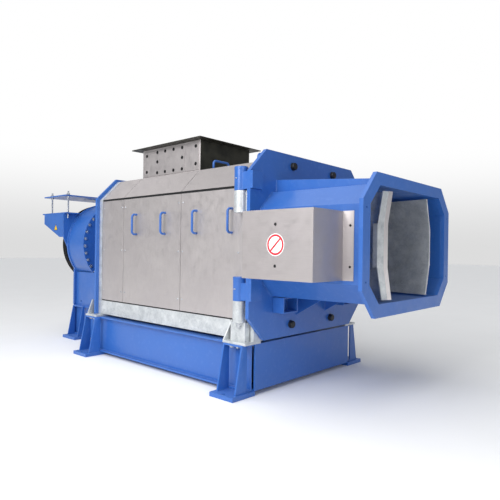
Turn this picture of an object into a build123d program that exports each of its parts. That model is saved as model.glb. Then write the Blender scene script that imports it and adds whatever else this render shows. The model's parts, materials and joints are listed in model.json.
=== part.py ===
from build123d import *
import math
import os

# Single-screw dewatering press with a belt-driven planetary gear unit.
# All sizes are in millimetres. X runs along the machine towards the discharge, Z is up, and Y = 0 is the
# centre plane. While modelling, X = 0 is the front edge of the base feet; save() shifts everything so that
# X = 0 is the middle of the whole machine, and the floor is Z = 0.

# ---- base frame
BASE_LENGTH = 3195.0
BASE_HALF_WIDTH = 1275.0
BASE_TOP = 541.0
FOOT_SIDE = 339.0
FOOT_PLATE = 46.0
FOOT_GUSSET = 20.0
FOOT_GUSSET_INSET = 30.0
FOOT_GUSSET_TOE = 70.0
FOOT_GUSSET_TOP_STEP = 165.0
FOOT_TOP_PLATE = 20.0
ANCHOR_HOLE_R = 18.0
ANCHOR_EDGE = 45.0
BEAM_OUTER_Y = 1035.0
BEAM_WIDTH = 200.0
BEAM_FLANGE = 20.0
BEAM_WEB = 15.0
BEAM_WEB_RECESS = 60.0
END_FACE_SETBACK = 7.0
CROSS_BEAM_BOTTOM = 240.0
END_BEAM_DEPTH = 200.0
CROSS_BEAM_WIDTH = 120.0

# ---- body
BODY_HALF_WIDTH = 975.0
BODY_REAR = 2960.0
BODY_FRONT = 44.0
BODY_BOTTOM = 567.0
TROUGH_TOP = 770.0
TROUGH_FRONT = 340.0
TROUGH_WALL = 6.0
PANEL_BOTTOM = 786.0
PANEL_TOP = 2197.0
CHAMFER_BOTTOM = 2224.0
ROOF_Z = 2520.0
ROOF_HALF_WIDTH = 688.0
COVER_THICKNESS = 5.0
COVER_GAP = 6.0
RAIL_INSET = 12.0
RAIL_WIDTH = 40.0
TROUGH_GAP = 8.0
COVER_JOINTS = (2420.0, 1200.0)
AXIS_Z = 1590.0
TIE_ROD_R = 32.0
TIE_ROD_Y = 850.0
TIE_ROD_Z = (860.0, 2130.0)
DRAIN_X = 1600.0
DRAIN_R = 109.5
DRAIN_WALL = 6.3
DRAIN_END_Z = 330.0
DRAIN_FLANGE_R = 170.0
DRAIN_FLANGE_PCD = 295.0
DRAIN_FLANGE_HOLE_R = 11.0
DRAIN_FLANGE_THICKNESS = 24.0

# ---- bulkheads
FRONT_BULKHEAD = 45.0
FRONT_FACE_GAP = 3.0
REAR_BULKHEAD_FACE = 3040.0
REAR_BULKHEAD = 40.0
REAR_HALF_WIDTH = 1025.0
REAR_TOP = 2560.0
REAR_CHAMFER = 320.0
SEAL_FRAME_WIDTH = 60.0
BULKHEAD_FOOT_LENGTH = 286.0
BULKHEAD_FOOT_FLARE = 125.0
BULKHEAD_FOOT_TOP = 770.0
BULKHEAD_FOOT_UNDER = 120.0
BULKHEAD_FOOT_REAR = 100.0
BULKHEAD_GUSSET = 20.0
BULKHEAD_GUSSET_REAR = 60.0

# ---- handles and screws
HANDLE_LENGTH = 290.0
HANDLE_STAND_OFF = 72.0
HANDLE_R = 14.0
HANDLE_BEND = 38.0
HANDLE_CENTRE_Z = 1848.0
ROOF_HANDLE_STAND_OFF = 105.0
ROOF_HANDLE_Y = 500.0
ROOF_HANDLE_X = (1000.0, 270.0)
SCREW_HEAD_R = 9.0
SCREW_HEAD = 5.0
SCREW_ROWS = (925.0, 1500.0, 2090.0)
SCREW_EDGE = 40.0
FRONT_SCREW_EDGE = 190.0

# ---- inlet chute
CHUTE_REAR = 2690.0
CHUTE_FRONT = 1420.0
CHUTE_HALF_WIDTH = 475.0
CHUTE_WALL = 8.0
CHUTE_TOP = 2986.0
CHUTE_SKIRT_Z = 1740.0
CHUTE_FLANGE = 12.0
CHUTE_OVERHANG = 120.0
CHUTE_HOLE_R = 9.0
CHUTE_HOLE_EDGE = 35.0
CHUTE_LONG_HOLES = 8
CHUTE_SHORT_HOLES = 6
CHUTE_PLATE = 8.0
CHUTE_PLATE_SEAM = 1730.0
CHUTE_PLATE_FOOT = 60.0
CHUTE_PLATE_HEAD = 20.0
CHUTE_PLATE_ENDS = (45.0, 30.0)
CHUTE_BOLT_AF_R = 15.0
CHUTE_BOLT_HEAD = 11.0
# Bolts of the two plates: columns with one bolt near each edge, then (x, height in the plate) of the others.
CHUTE_BOLT_COLUMNS = (2337.0, 2157.0, 1970.0, 1786.0)
CHUTE_BOLT_EDGES = (44.0, 39.0)
CHUTE_OTHER_BOLTS = (
    (2587.0, 73.0),
    (2587.0, 308.0),
    (2337.0, 199.5),
    (1786.0, 199.5),
    (1505.0, 85.0),
    (1505.0, 319.0),
)

# ---- screen and screw
SCREEN_R = 520.0
SCREEN_WALL = 12.0
SCREEN_REAR = 2900.0
SCREEN_RING_HEIGHT = 53.0
SCREEN_RING = 16.0
SCREEN_RINGS = (2860.0, 2200.0, 1300.0, 900.0, 500.0)
SCREW_CLEARANCE = 8.0
SCREW_REAR = 2860.0
SCREW_FRONT = 60.0
CORE_REAR_R = 210.0
CORE_FRONT_R = 380.0
CORE_WALL = 30.0
FLIGHT_THICKNESS = 22.0
FLIGHT_FIRST_PITCH = 560.0
FLIGHT_LAST_PITCH = 330.0
FLIGHT_STEPS = 18
SHAFT_R = 110.0
RUNNING_CLEARANCE = 0.05

# ---- gear unit
DRUM_REAR = 4530.0
DRUM_FRONT = 3970.0
DRUM_R = 700.0
DRUM_WALL = 40.0
DRUM_RIM_R = DRUM_R + 17.0
DRUM_RIM = 40.0
LANTERN_R = 450.0
LANTERN_WALL = 30.0
BEARING_R = 220.0
BEARING_WIDTH = 90.0
GEAR_MODULE = 17.0
SUN_TEETH = 18
PLANET_TEETH = 27
RING_TEETH = 72
GEAR_REAR = 4350.0
GEAR_WIDTH = 140.0
GEAR_BACKLASH = 1.6
PLANET_PIN_R = 60.0
CARRIER_R = 470.0
CARRIER = 60.0
INPUT_SHAFT_R = 60.0
PULLEY_R = 700.0
PULLEY_WIDTH = 110.0
PULLEY_REAR = 4700.0
PULLEY_GROOVES = 6

# ---- drive support
END_PLATE = 20.0
CONSOLE_HALF_WIDTH = 775.0
CONSOLE_TOP = 2105.0
CONSOLE_SHOULDER = 1700.0
CONSOLE_SIDE_REAR_Z = 1940.0
CONSOLE_SIDE_TOE = 130.0
CONSOLE_REAR = 5250.0
CONSOLE_PLATE = 20.0
CONSOLE_PLATE_REAR = 5320.0
CONSOLE_PLATE_FRONT = 4450.0
SIDE_PLATE = 15.0
COLUMN_HALF_WIDTH = 575.0
COLUMN_FRONT = 3850.0
COLUMN_TOP = 1245.0
COLUMN_FLANGE = 100.0
COLUMN_WEB = 20.0
COLUMN_WEB_RECESS = 40.0
COLUMN_HOLE_R = 16.0
COLUMN_HOLE_X = 4350.0
COLUMN_HOLE_Z = (610.0, 1180.0)
MOTOR_PLATE_REAR = 5260.0
MOTOR_PLATE_FRONT = 4470.0
MOTOR_PLATE_Z = 2405.0
MOTOR_PLATE = 20.0
MOTOR_SLOT_HALF = 300.0
MOTOR_HOLE_R = 14.0
MOTOR_HOLE_X = (5193.0, 4787.0)
MOTOR_HOLE_Y = 254.0
ROD_X = (5080.0, 4500.0)
ROD_Y = 715.0
ROD_R = 15.0
ROD_TOP = 2490.0
ROD_BOTTOM = 2030.0
ROD_CLEARANCE = 0.6
NUT_R = 26.0
NUT = 24.0
PEDESTAL_FOOT_LENGTH = 400.0
PEDESTAL_HALF_WIDTH = 765.0

# ---- hinged front plate and hinge
PLATE_FACE = 49.0
PLATE = 45.0
PLATE_HALF_WIDTH = 1110.0
PLATE_BOTTOM = 577.0
PLATE_TOP = 2598.0
PLATE_CHAMFER = 251.0
CAP_Y = 402.0
CAP_Z = (704.0, 2471.0)
CAP_R = 45.0
CAP_LENGTH = 42.0
CLOSING_BOLT_R = 15.0
BARREL_R = 72.5
HINGE_X = -(BODY_FRONT + BARREL_R + 17.5)
HINGE_Y = -(BODY_HALF_WIDTH + BARREL_R + 2.5)
HINGE_PIN_R = 30.0
KNUCKLE_GAP = 1.0
UPPER_FIXED = (1920.0, 2149.0)
UPPER_MOVING = (2149.0, 2400.0)
LOWER_FIXED = (770.0, 996.0)
LOWER_MOVING = (996.0, 1247.0)
STRAP_WIDTH = 165.0
STRAP_THICKNESS = 30.0
HINGE_BLOCK_X = (HINGE_X - 126.0, HINGE_X + 82.0)
HINGE_BLOCK_DEPTH = 150.0

# ---- discharge tunnel and flange
FLANGE_FACE = 1271.0
FLANGE = 40.0
FLANGE_BOTTOM = 926.5
FLANGE_TOP = 2253.5
FLANGE_CHAMFER_Y = 241.0
FLANGE_CHAMFER_Z = 260.0
MOUTH_HALF_WIDTH = 873.0
FLANGE_HALF_WIDTH = MOUTH_HALF_WIDTH + 130.0
MOUTH_BOTTOM = 1052.0
MOUTH_TOP = 2138.0
MOUTH_CHAMFER = 180.0
TUNNEL_WALL = 12.0
TUNNEL_ROOT_EXTRA = 60.0
RIB = 15.0
RIB_ROOT = 140.0
RIB_TIP = 55.0
GUSSET_LENGTH = 420.0
GUSSET_DEPTH = 240.0
GUSSET_Y = 300.0
FLANGE_HOLE_R = 9.0
FLANGE_HOLE_Y = FLANGE_HALF_WIDTH - 63.0
FLANGE_HOLE_Z = 330.0
POCKET_Y = (475.0, 725.0)
POCKET_Z = (860.0, 1030.0)
POCKET_DEPTH = 150.0

# ---- guards, jaws and cylinders
GUARD_REAR = 194.0
GUARD_FRONT = 1011.0
GUARD_HALF_WIDTH = 1375.0
GUARD_Z = (1262.0, 1900.0)
GUARD_SHEET = 4.0
GUARD_LIP = 110.0
GUARD_SCREW_Z = (1389.0, 1766.0)
JAW_REAR = 140.0
JAW_TIP = 1250.0
JAW_WALL = 12.0
JAW_ROOT_Y = MOUTH_HALF_WIDTH - 173.0
JAW_TIP_Y = JAW_ROOT_Y - 210.0
JAW_EDGE_IN = 90.0
JAW_TOP = 2108.0
JAW_BOTTOM = 1072.0
JAW_ROOT_BENDS = (1235.0, 1945.0)
JAW_TIP_BENDS = (1385.0, 1795.0)
JAW_LIP_WIDTH = 119.0
JAW_LIP_BACK = 40.0
JAW_LIP = 12.0
JAW_RETURN = 50.0
JAW_RETURN_WALL = 10.0
JAW_BARREL_R = 34.0
JAW_PIN_R = 20.0
JAW_PIVOT_X = 140.0
JAW_PIVOT_Y = JAW_ROOT_Y + 52.0
JAW_BARREL_Z = (1390.0, 1790.0)
JAW_BRACKET = 25.0
JAW_BRACKET_R = 34.0
CYLINDER_X = 600.0
CYLINDER_R = 70.0
CYLINDER_END = GUARD_HALF_WIDTH - 10.0
CYLINDER_START = MOUTH_HALF_WIDTH + 67.0
CYLINDER_WALL = 10.0
ROD_END_R = 45.0
PUSH_ROD_R = 28.0
PUSH_GAP = 4.0
PUSH_ROD_HOLE_GAP = 8.0

# How far the corners of an octagon move along its sides, for each millimetre that the outline is offset.
CORNER_SHIFT = math.tan(math.radians(22.5))

FRONT_REACH = FLANGE_FACE
REAR_REACH = CONSOLE_PLATE_REAR
X_SHIFT = (REAR_REACH - FRONT_REACH) / 2


# ---- helpers
def block(x, y, z):
    """Box between the two limits given for each axis."""
    size = [abs(b - a) for a, b in (x, y, z)]
    middle = [(a + b) / 2 for a, b in (x, y, z)]
    return Pos(*middle) * Box(*size)


def prism_x(points, x0, x1):
    """Polygon of (y, z) points carried along X."""
    return extrude(Plane.YZ.offset(x0) * Polygon(*points, align=None), amount=x1 - x0, dir=(1, 0, 0))


def prism_y(points, y0, y1):
    """Polygon of (x, z) points carried along Y."""
    return extrude(Plane.XZ.offset(-y0) * Polygon(*points, align=None), amount=y1 - y0, dir=(0, 1, 0))


def bar(radius, axis, start, end, at):
    """Round bar along one axis; at gives the other two coordinates in X, Y, Z order."""
    middle = (start + end) / 2
    cylinder = Cylinder(radius, abs(end - start))
    if axis == "x":
        return Pos(middle, *at) * Rot(0, 90, 0) * cylinder
    if axis == "y":
        return Pos(at[0], middle, at[1]) * Rot(90, 0, 0) * cylinder
    return Pos(at[0], at[1], middle) * cylinder


def hexagon_bar(radius, axis, start, end, at):
    """Hexagonal bar along Y or Z, used for bolt heads and nuts."""
    outline = RegularPolygon(radius, 6)
    if axis == "y":
        return Pos(at[0], start, at[1]) * extrude(Plane.XZ * outline, amount=start - end)
    return Pos(at[0], at[1], start) * extrude(outline, amount=end - start)


def mirrored(shape):
    """The shape and its copy on the other side of the centre plane."""
    return [shape, mirror(shape, about=Plane.XZ)]


def octagon(half_width, bottom, top, chamfer_y, chamfer_z):
    """Eight (y, z) corners of a rectangle with cut corners."""
    upper = [(half_width, top - chamfer_z), (half_width - chamfer_y, top)]
    lower = [(half_width - chamfer_y, bottom), (half_width, bottom + chamfer_z)]
    right = lower + upper
    left = [(-y, z) for y, z in reversed(right)]
    return right + left


def ruled_x(points0, x0, points1, x1):
    """Solid between two polygons of the same count, one at each X."""
    ends = [Plane.YZ.offset(x) * Polygon(*points, align=None) for points, x in ((points0, x0), (points1, x1))]
    return loft([end.face() for end in ends], ruled=True)


def save(node, *shapes):
    """Write one node; nested lists and compounds become separate solids."""
    solids = []
    for shape in shapes:
        for item in shape if isinstance(shape, list) else [shape]:
            solids += item.solids()
    moved = [Pos(X_SHIFT, 0, 0) * solid for solid in solids]
    export_step(moved[0] if len(moved) == 1 else Compound(children=moved), f"parts/{node}.step")


# ---- base frame
def base_frame():
    rear_face = -BASE_LENGTH + END_FACE_SETBACK
    web_y = BEAM_OUTER_Y - BEAM_WEB_RECESS
    inner_y = BEAM_OUTER_Y - BEAM_WIDTH
    face_y = BASE_HALF_WIDTH - FOOT_SIDE
    face_inner = -END_FACE_SETBACK - BEAM_FLANGE
    x = (rear_face + BEAM_FLANGE, face_inner)
    beam = block(x, (-BEAM_OUTER_Y, -inner_y), (BASE_TOP - BEAM_FLANGE, BASE_TOP))
    beam += block(x, (-BEAM_OUTER_Y, -inner_y), (FOOT_PLATE, FOOT_PLATE + BEAM_FLANGE))
    web_z = (FOOT_PLATE + BEAM_FLANGE, BASE_TOP - BEAM_FLANGE)
    beam += block(x, (-web_y, -web_y + BEAM_WEB), web_z)
    save("base_side_beams", mirrored(beam))

    def end_beam(face, inward):
        """Channel across the machine with its flat web facing outwards."""
        inside = face + inward * BEAM_FLANGE
        part = block((face, inside), (-face_y, face_y), (FOOT_PLATE, BASE_TOP))
        for z in (FOOT_PLATE, BASE_TOP - BEAM_FLANGE):
            part += block((inside, face + inward * END_BEAM_DEPTH), (-inner_y, inner_y), (z, z + BEAM_FLANGE))
        return part

    middles = []
    half = CROSS_BEAM_WIDTH / 2
    for at in (-BASE_LENGTH / 3, -BASE_LENGTH * 2 / 3):
        middle = block((at - BEAM_WEB / 2, at + BEAM_WEB / 2), (-inner_y, inner_y), (CROSS_BEAM_BOTTOM, BASE_TOP))
        for z in (CROSS_BEAM_BOTTOM, BASE_TOP - BEAM_FLANGE):
            middle += block((at - half, at + half), (-inner_y, inner_y), (z, z + BEAM_FLANGE))
        middles.append(middle)
    save("base_cross_beams", end_beam(-END_FACE_SETBACK, -1), end_beam(rear_face, 1), middles)
    front_feet = mirrored(foot(-FOOT_SIDE, 0.0, -BASE_HALF_WIDTH, FOOT_SIDE, -BEAM_OUTER_Y))
    rear_feet = mirrored(foot(-BASE_LENGTH, -BASE_LENGTH + FOOT_SIDE, -BASE_HALF_WIDTH, FOOT_SIDE, -BEAM_OUTER_Y))
    save("base_feet", front_feet, rear_feet)


def foot(x0, x1, y0, depth, beam_y):
    """Foot plate with an anchor hole, two sloped gussets and a short top plate against the beam."""
    gusset_y = y0 + FOOT_GUSSET_TOE
    top_y = y0 + FOOT_GUSSET_TOP_STEP
    part = block((x0, x1), (y0, y0 + depth), (0, FOOT_PLATE))
    part -= bar(ANCHOR_HOLE_R, "z", -1, FOOT_PLATE + 1, ((x0 + x1) / 2, y0 + ANCHOR_EDGE))
    outline = [(gusset_y, FOOT_PLATE), (beam_y, FOOT_PLATE), (beam_y, BASE_TOP), (top_y, BASE_TOP)]
    for x in (x0 + FOOT_GUSSET_INSET, x1 - FOOT_GUSSET_INSET - FOOT_GUSSET):
        part += prism_x(outline, x, x + FOOT_GUSSET)
    top_x = (x0 + FOOT_GUSSET_INSET, x1 - FOOT_GUSSET_INSET)
    return part + block(top_x, (top_y, beam_y), (BASE_TOP - FOOT_TOP_PLATE, BASE_TOP))


# ---- body
def body_outline(inset=0.0):
    """Section of the covered body, seen along X."""
    right = [
        (BODY_HALF_WIDTH - inset, BODY_BOTTOM + inset),
        (BODY_HALF_WIDTH - inset, CHAMFER_BOTTOM - inset * CORNER_SHIFT),
        (ROOF_HALF_WIDTH - inset * CORNER_SHIFT, ROOF_Z - inset),
    ]
    return right + [(-y, z) for y, z in reversed(right)]


def bulkheads():
    front = prism_x(body_outline(), -BODY_FRONT, -BODY_FRONT + FRONT_BULKHEAD)
    front -= bar(SCREEN_R, "x", -BODY_FRONT - 1, FRONT_BULKHEAD, (0, AXIS_Z))
    save("front_bulkhead", front)

    right = [
        (REAR_HALF_WIDTH, BODY_BOTTOM),
        (REAR_HALF_WIDTH, REAR_TOP - REAR_CHAMFER),
        (REAR_HALF_WIDTH - REAR_CHAMFER, REAR_TOP),
    ]
    corners = right + [(-y, z) for y, z in reversed(right)]
    rear = prism_x(corners, -REAR_BULKHEAD_FACE - REAR_BULKHEAD, -REAR_BULKHEAD_FACE)
    rear -= bar(BEARING_R, "x", -REAR_BULKHEAD_FACE - REAR_BULKHEAD - 1, -REAR_BULKHEAD_FACE + 1, (0, AXIS_Z))
    save("rear_bulkhead", rear)

    seal_x = (-REAR_BULKHEAD_FACE, -BODY_REAR - COVER_GAP / 2)
    outer = body_outline()
    inner = body_outline(SEAL_FRAME_WIDTH)
    bars = []
    for n in range(len(outer)):
        m = (n + 1) % len(outer)
        bars.append(prism_x([outer[n], outer[m], inner[m], inner[n]], *seal_x))
    save("rear_seal_frame", bars)

    rods = []
    for z in TIE_ROD_Z:
        rods += mirrored(bar(TIE_ROD_R, "x", -REAR_BULKHEAD_FACE, -BODY_FRONT, (-TIE_ROD_Y, z)))
    save("tie_rods", rods)

    feet = []
    pad_top = BODY_BOTTOM
    pad_y = (-BODY_HALF_WIDTH - BULKHEAD_FOOT_FLARE, -BODY_HALF_WIDTH + BULKHEAD_FOOT_UNDER)
    toe = (pad_y[0], pad_top)
    front_x = (-TROUGH_FRONT + 10, -BODY_FRONT + FRONT_BULKHEAD)
    front_gusset = [toe, (-BODY_HALF_WIDTH, pad_top), (-BODY_HALF_WIDTH, BULKHEAD_FOOT_TOP)]
    rear_x = -REAR_BULKHEAD_FACE - REAR_BULKHEAD - BULKHEAD_FOOT_REAR
    rear_x = (rear_x, rear_x + BULKHEAD_FOOT_LENGTH)
    inner = -REAR_HALF_WIDTH + BULKHEAD_GUSSET_REAR
    rear_gusset = [toe, (inner, pad_top), (inner, BULKHEAD_FOOT_TOP), (-REAR_HALF_WIDTH, BULKHEAD_FOOT_TOP)]
    rear_gusset_x = rear_x[0] + BULKHEAD_FOOT_REAR - BULKHEAD_GUSSET_REAR
    for x, gusset, gusset_x in ((front_x, front_gusset, front_x[0]), (rear_x, rear_gusset, rear_gusset_x)):
        pad = block(x, pad_y, (BASE_TOP, pad_top))
        feet += mirrored(pad + prism_x(gusset, gusset_x, gusset_x + BULKHEAD_GUSSET))
    save("bulkhead_feet", feet)


def trough():
    x = (-BODY_REAR, -TROUGH_FRONT)
    floor = BODY_BOTTOM + TROUGH_GAP
    outer = block(x, (-BODY_HALF_WIDTH, BODY_HALF_WIDTH), (floor, TROUGH_TOP))
    inside_x = (x[0] + TROUGH_WALL, x[1] - TROUGH_WALL)
    inside_y = BODY_HALF_WIDTH - TROUGH_WALL
    outer -= block(inside_x, (-inside_y, inside_y), (floor + TROUGH_WALL, TROUGH_TOP + 1))
    drain_at = (-DRAIN_X, 0)
    outer -= bar(DRAIN_R - DRAIN_WALL, "z", BODY_BOTTOM, TROUGH_TOP, drain_at)
    save("filtrate_trough", outer)

    pipe = bar(DRAIN_R, "z", DRAIN_END_Z, floor, drain_at)
    pipe += bar(DRAIN_FLANGE_R, "z", DRAIN_END_Z, DRAIN_END_Z + DRAIN_FLANGE_THICKNESS, drain_at)
    pipe -= bar(DRAIN_R - DRAIN_WALL, "z", DRAIN_END_Z - 1, floor + 1, drain_at)
    for step in range(8):
        turn = math.radians(22.5 + 45 * step)
        x_hole = -DRAIN_X + DRAIN_FLANGE_PCD / 2 * math.cos(turn)
        y_hole = DRAIN_FLANGE_PCD / 2 * math.sin(turn)
        hole_top = DRAIN_END_Z + DRAIN_FLANGE_THICKNESS + 1
        pipe -= bar(DRAIN_FLANGE_HOLE_R, "z", DRAIN_END_Z - 1, hole_top, (x_hole, y_hole))
    save("drain_pipe", pipe)


def covers():
    rails = []
    rail_y = -BODY_HALF_WIDTH + RAIL_INSET
    for z0, z1 in ((TROUGH_TOP, PANEL_BOTTOM), (PANEL_TOP, CHAMFER_BOTTOM)):
        rail = block((-BODY_REAR, -BODY_FRONT), (rail_y, rail_y + RAIL_WIDTH), (z0, z1))
        rails += mirrored(rail)
    save("cover_rails", rails)

    edges = (BODY_REAR - COVER_GAP / 2,) + COVER_JOINTS + (BODY_FRONT + COVER_GAP / 2,)
    spans = [(-a + COVER_GAP / 2, -b - COVER_GAP / 2) for a, b in zip(edges, edges[1:])]
    outside = -BODY_HALF_WIDTH
    panels = [
        block(span, (outside, outside + COVER_THICKNESS), (PANEL_BOTTOM, PANEL_TOP)) for span in spans
    ]
    save("fixed_side_panels", mirrored(panels[0]))
    save("left_covers", panels[1:])
    save("right_covers", [mirror(panel, about=Plane.XZ) for panel in panels[1:]])

    slope = [
        (outside, CHAMFER_BOTTOM),
        (-ROOF_HALF_WIDTH, ROOF_Z),
        (-ROOF_HALF_WIDTH, ROOF_Z - COVER_THICKNESS * math.sqrt(2)),
        (outside + COVER_THICKNESS, CHAMFER_BOTTOM),
    ]
    chamfers = []
    for span in spans:
        chamfers += mirrored(prism_x(slope, *span))
    save("chamfer_covers", chamfers)

    roof_x = (spans[0][0], spans[-1][1])
    roof = block(roof_x, (-ROOF_HALF_WIDTH, ROOF_HALF_WIDTH), (ROOF_Z - COVER_THICKNESS, ROOF_Z))
    chute_x = (-CHUTE_REAR - 1, -CHUTE_FRONT + 1)
    roof -= block(chute_x, (-CHUTE_HALF_WIDTH - 1, CHUTE_HALF_WIDTH + 1), (ROOF_Z - 50, ROOF_Z + 50))
    save("roof_cover", roof)

    handles = []
    for a, b in zip(COVER_JOINTS + (BODY_FRONT,), (COVER_JOINTS + (BODY_FRONT,))[1:]):
        for share in (0.25, 0.75):
            place = Pos(-a + (a - b) * share, outside, HANDLE_CENTRE_Z)
            handles += mirrored(place * Rot(90, 0, 0) * bow_handle(HANDLE_STAND_OFF))
    for x in ROOF_HANDLE_X:
        place = Pos(-x, -ROOF_HANDLE_Y, ROOF_Z)
        handles += mirrored(place * bow_handle(ROOF_HANDLE_STAND_OFF))
    save("cover_handles", handles)

    columns = [edges[0] - SCREW_EDGE, edges[-1] + FRONT_SCREW_EDGE]
    for joint in COVER_JOINTS:
        columns += [joint - SCREW_EDGE, joint + SCREW_EDGE]
    heads = []
    for x in columns:
        for z in SCREW_ROWS:
            heads += mirrored(bar(SCREW_HEAD_R, "y", outside - SCREW_HEAD, outside, (-x, z)))
    save("cover_screws", heads)


def bow_handle(stand_off):
    """Round-bar bow standing up from Z = 0, with its feet apart along Y."""
    half = HANDLE_LENGTH / 2 - HANDLE_R
    points = [(-half, 0), (-half, stand_off), (half, stand_off), (half, 0)]
    path = Plane.YZ * FilletPolyline(*points, radius=HANDLE_BEND)
    section = Plane(path @ 0, z_dir=path % 0) * Circle(HANDLE_R)
    return sweep(section, path=path)


def chute():
    x = (-CHUTE_REAR, -CHUTE_FRONT)
    inside_x = (x[0] + CHUTE_WALL, x[1] - CHUTE_WALL)
    inside_y = CHUTE_HALF_WIDTH - CHUTE_WALL
    part = block(x, (-CHUTE_HALF_WIDTH, CHUTE_HALF_WIDTH), (CHUTE_SKIRT_Z, CHUTE_TOP - CHUTE_FLANGE))
    flange_x = (x[0] - CHUTE_OVERHANG, x[1] + CHUTE_OVERHANG)
    flange_y = CHUTE_HALF_WIDTH + CHUTE_OVERHANG
    part += block(flange_x, (-flange_y, flange_y), (CHUTE_TOP - CHUTE_FLANGE, CHUTE_TOP))
    part -= block(inside_x, (-inside_y, inside_y), (AXIS_Z, CHUTE_TOP + 1))
    part -= bar(SCREEN_R + SCREEN_WALL, "x", x[0] - 1, x[1] + 1, (0, AXIS_Z))
    for hx, hy in chute_holes():
        part -= bar(CHUTE_HOLE_R, "z", CHUTE_TOP - CHUTE_FLANGE - 1, CHUTE_TOP + 1, (hx, hy))
    save("inlet_chute", part)

    outside = -CHUTE_HALF_WIDTH
    z = (ROOF_Z + CHUTE_PLATE_FOOT, CHUTE_TOP - CHUTE_FLANGE - CHUTE_PLATE_HEAD)
    seam = -CHUTE_PLATE_SEAM
    wide = block((x[0] + CHUTE_PLATE_ENDS[0], seam - 2), (outside - CHUTE_PLATE, outside), z)
    narrow = block((seam + 2, x[1] - CHUTE_PLATE_ENDS[1]), (outside - CHUTE_PLATE, outside), z)
    save("chute_plates", wide, narrow)

    bolts = []
    face = outside - CHUTE_PLATE
    rows = (z[0] + CHUTE_BOLT_EDGES[0], z[1] - CHUTE_BOLT_EDGES[1])
    places = [(-at, row) for at in CHUTE_BOLT_COLUMNS for row in rows]
    places += [(-at, z[0] + height) for at, height in CHUTE_OTHER_BOLTS]
    for at in places:
        bolts.append(hexagon_bar(CHUTE_BOLT_AF_R, "y", face - CHUTE_BOLT_HEAD, face, at))
    save("chute_bolts", bolts)


def chute_holes():
    """Hole centres around the inlet flange, evenly spaced along each side."""
    x0 = -CHUTE_REAR - CHUTE_OVERHANG + CHUTE_HOLE_EDGE
    x1 = -CHUTE_FRONT + CHUTE_OVERHANG - CHUTE_HOLE_EDGE
    y1 = CHUTE_HALF_WIDTH + CHUTE_OVERHANG - CHUTE_HOLE_EDGE
    long_side = [x0 + (x1 - x0) * n / (CHUTE_LONG_HOLES - 1) for n in range(CHUTE_LONG_HOLES)]
    short_side = [-y1 + 2 * y1 * n / (CHUTE_SHORT_HOLES - 1) for n in range(1, CHUTE_SHORT_HOLES - 1)]
    holes = [(x, y) for x in long_side for y in (-y1, y1)]
    return holes + [(x, y) for x in (x0, x1) for y in short_side]


# ---- screen and screw
def screen():
    x = (-SCREEN_REAR, -BODY_FRONT)
    outer_r = SCREEN_R + SCREEN_WALL
    shell = bar(outer_r, "x", *x, (0, AXIS_Z)) - bar(SCREEN_R, "x", x[0] - 1, x[1] + 1, (0, AXIS_Z))
    inside_x = (-CHUTE_REAR + CHUTE_WALL, -CHUTE_FRONT - CHUTE_WALL)
    inside_y = CHUTE_HALF_WIDTH - CHUTE_WALL
    shell -= block(inside_x, (-inside_y, inside_y), (AXIS_Z, AXIS_Z + outer_r + 1))
    save("upper_screen", shell & block(x, (-outer_r, outer_r), (AXIS_Z, AXIS_Z + outer_r)))
    save("lower_screen", shell & block(x, (-outer_r, outer_r), (AXIS_Z - outer_r, AXIS_Z)))

    ring_r = outer_r + SCREEN_RING_HEIGHT
    rings = []
    for at in SCREEN_RINGS:
        ring = bar(ring_r, "x", -at, -at + SCREEN_RING, (0, AXIS_Z))
        ring -= bar(outer_r, "x", -at - 1, -at + SCREEN_RING + 1, (0, AXIS_Z))
        if CHUTE_FRONT < at < CHUTE_REAR + SCREEN_RING:
            gap = CHUTE_HALF_WIDTH
            ring -= block((-at - 1, -at + SCREEN_RING + 1), (-gap, gap), (AXIS_Z, AXIS_Z + ring_r))
        rings.append(ring)
    save("screen_rings", rings)


def flight(outer_r, inner_r):
    """Helical flight of one thickness, whose pitch shortens towards the discharge."""
    length = SCREW_REAR - SCREW_FRONT - FLIGHT_THICKNESS
    turns = length / ((FLIGHT_FIRST_PITCH + FLIGHT_LAST_PITCH) / 2)
    count = round(turns * FLIGHT_STEPS)
    rings = []
    for n in range(count + 1):
        share = n / count
        angle = math.radians(360 * turns * share)
        first = FLIGHT_FIRST_PITCH / (FLIGHT_FIRST_PITCH + FLIGHT_LAST_PITCH) * 2
        along = first * share + (1 - first) * share * share
        x = -SCREW_REAR + length * along
        ring = []
        for radius, dx in ((inner_r, 0), (outer_r, 0), (outer_r, FLIGHT_THICKNESS), (inner_r, FLIGHT_THICKNESS)):
            ring.append(Vector(x + dx, radius * math.cos(angle), AXIS_Z + radius * math.sin(angle)))
        rings.append(ring)
    faces = [Face(Wire.make_polygon(ring)) for ring in (rings[0], rings[-1])]
    for a, b in zip(rings, rings[1:]):
        for i in range(4):
            j = (i + 1) % 4
            faces.append(Face(Wire.make_polygon([a[i], a[j], b[j]])))
            faces.append(Face(Wire.make_polygon([a[i], b[j], b[i]])))
    return Solid(Shell(faces))


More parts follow.
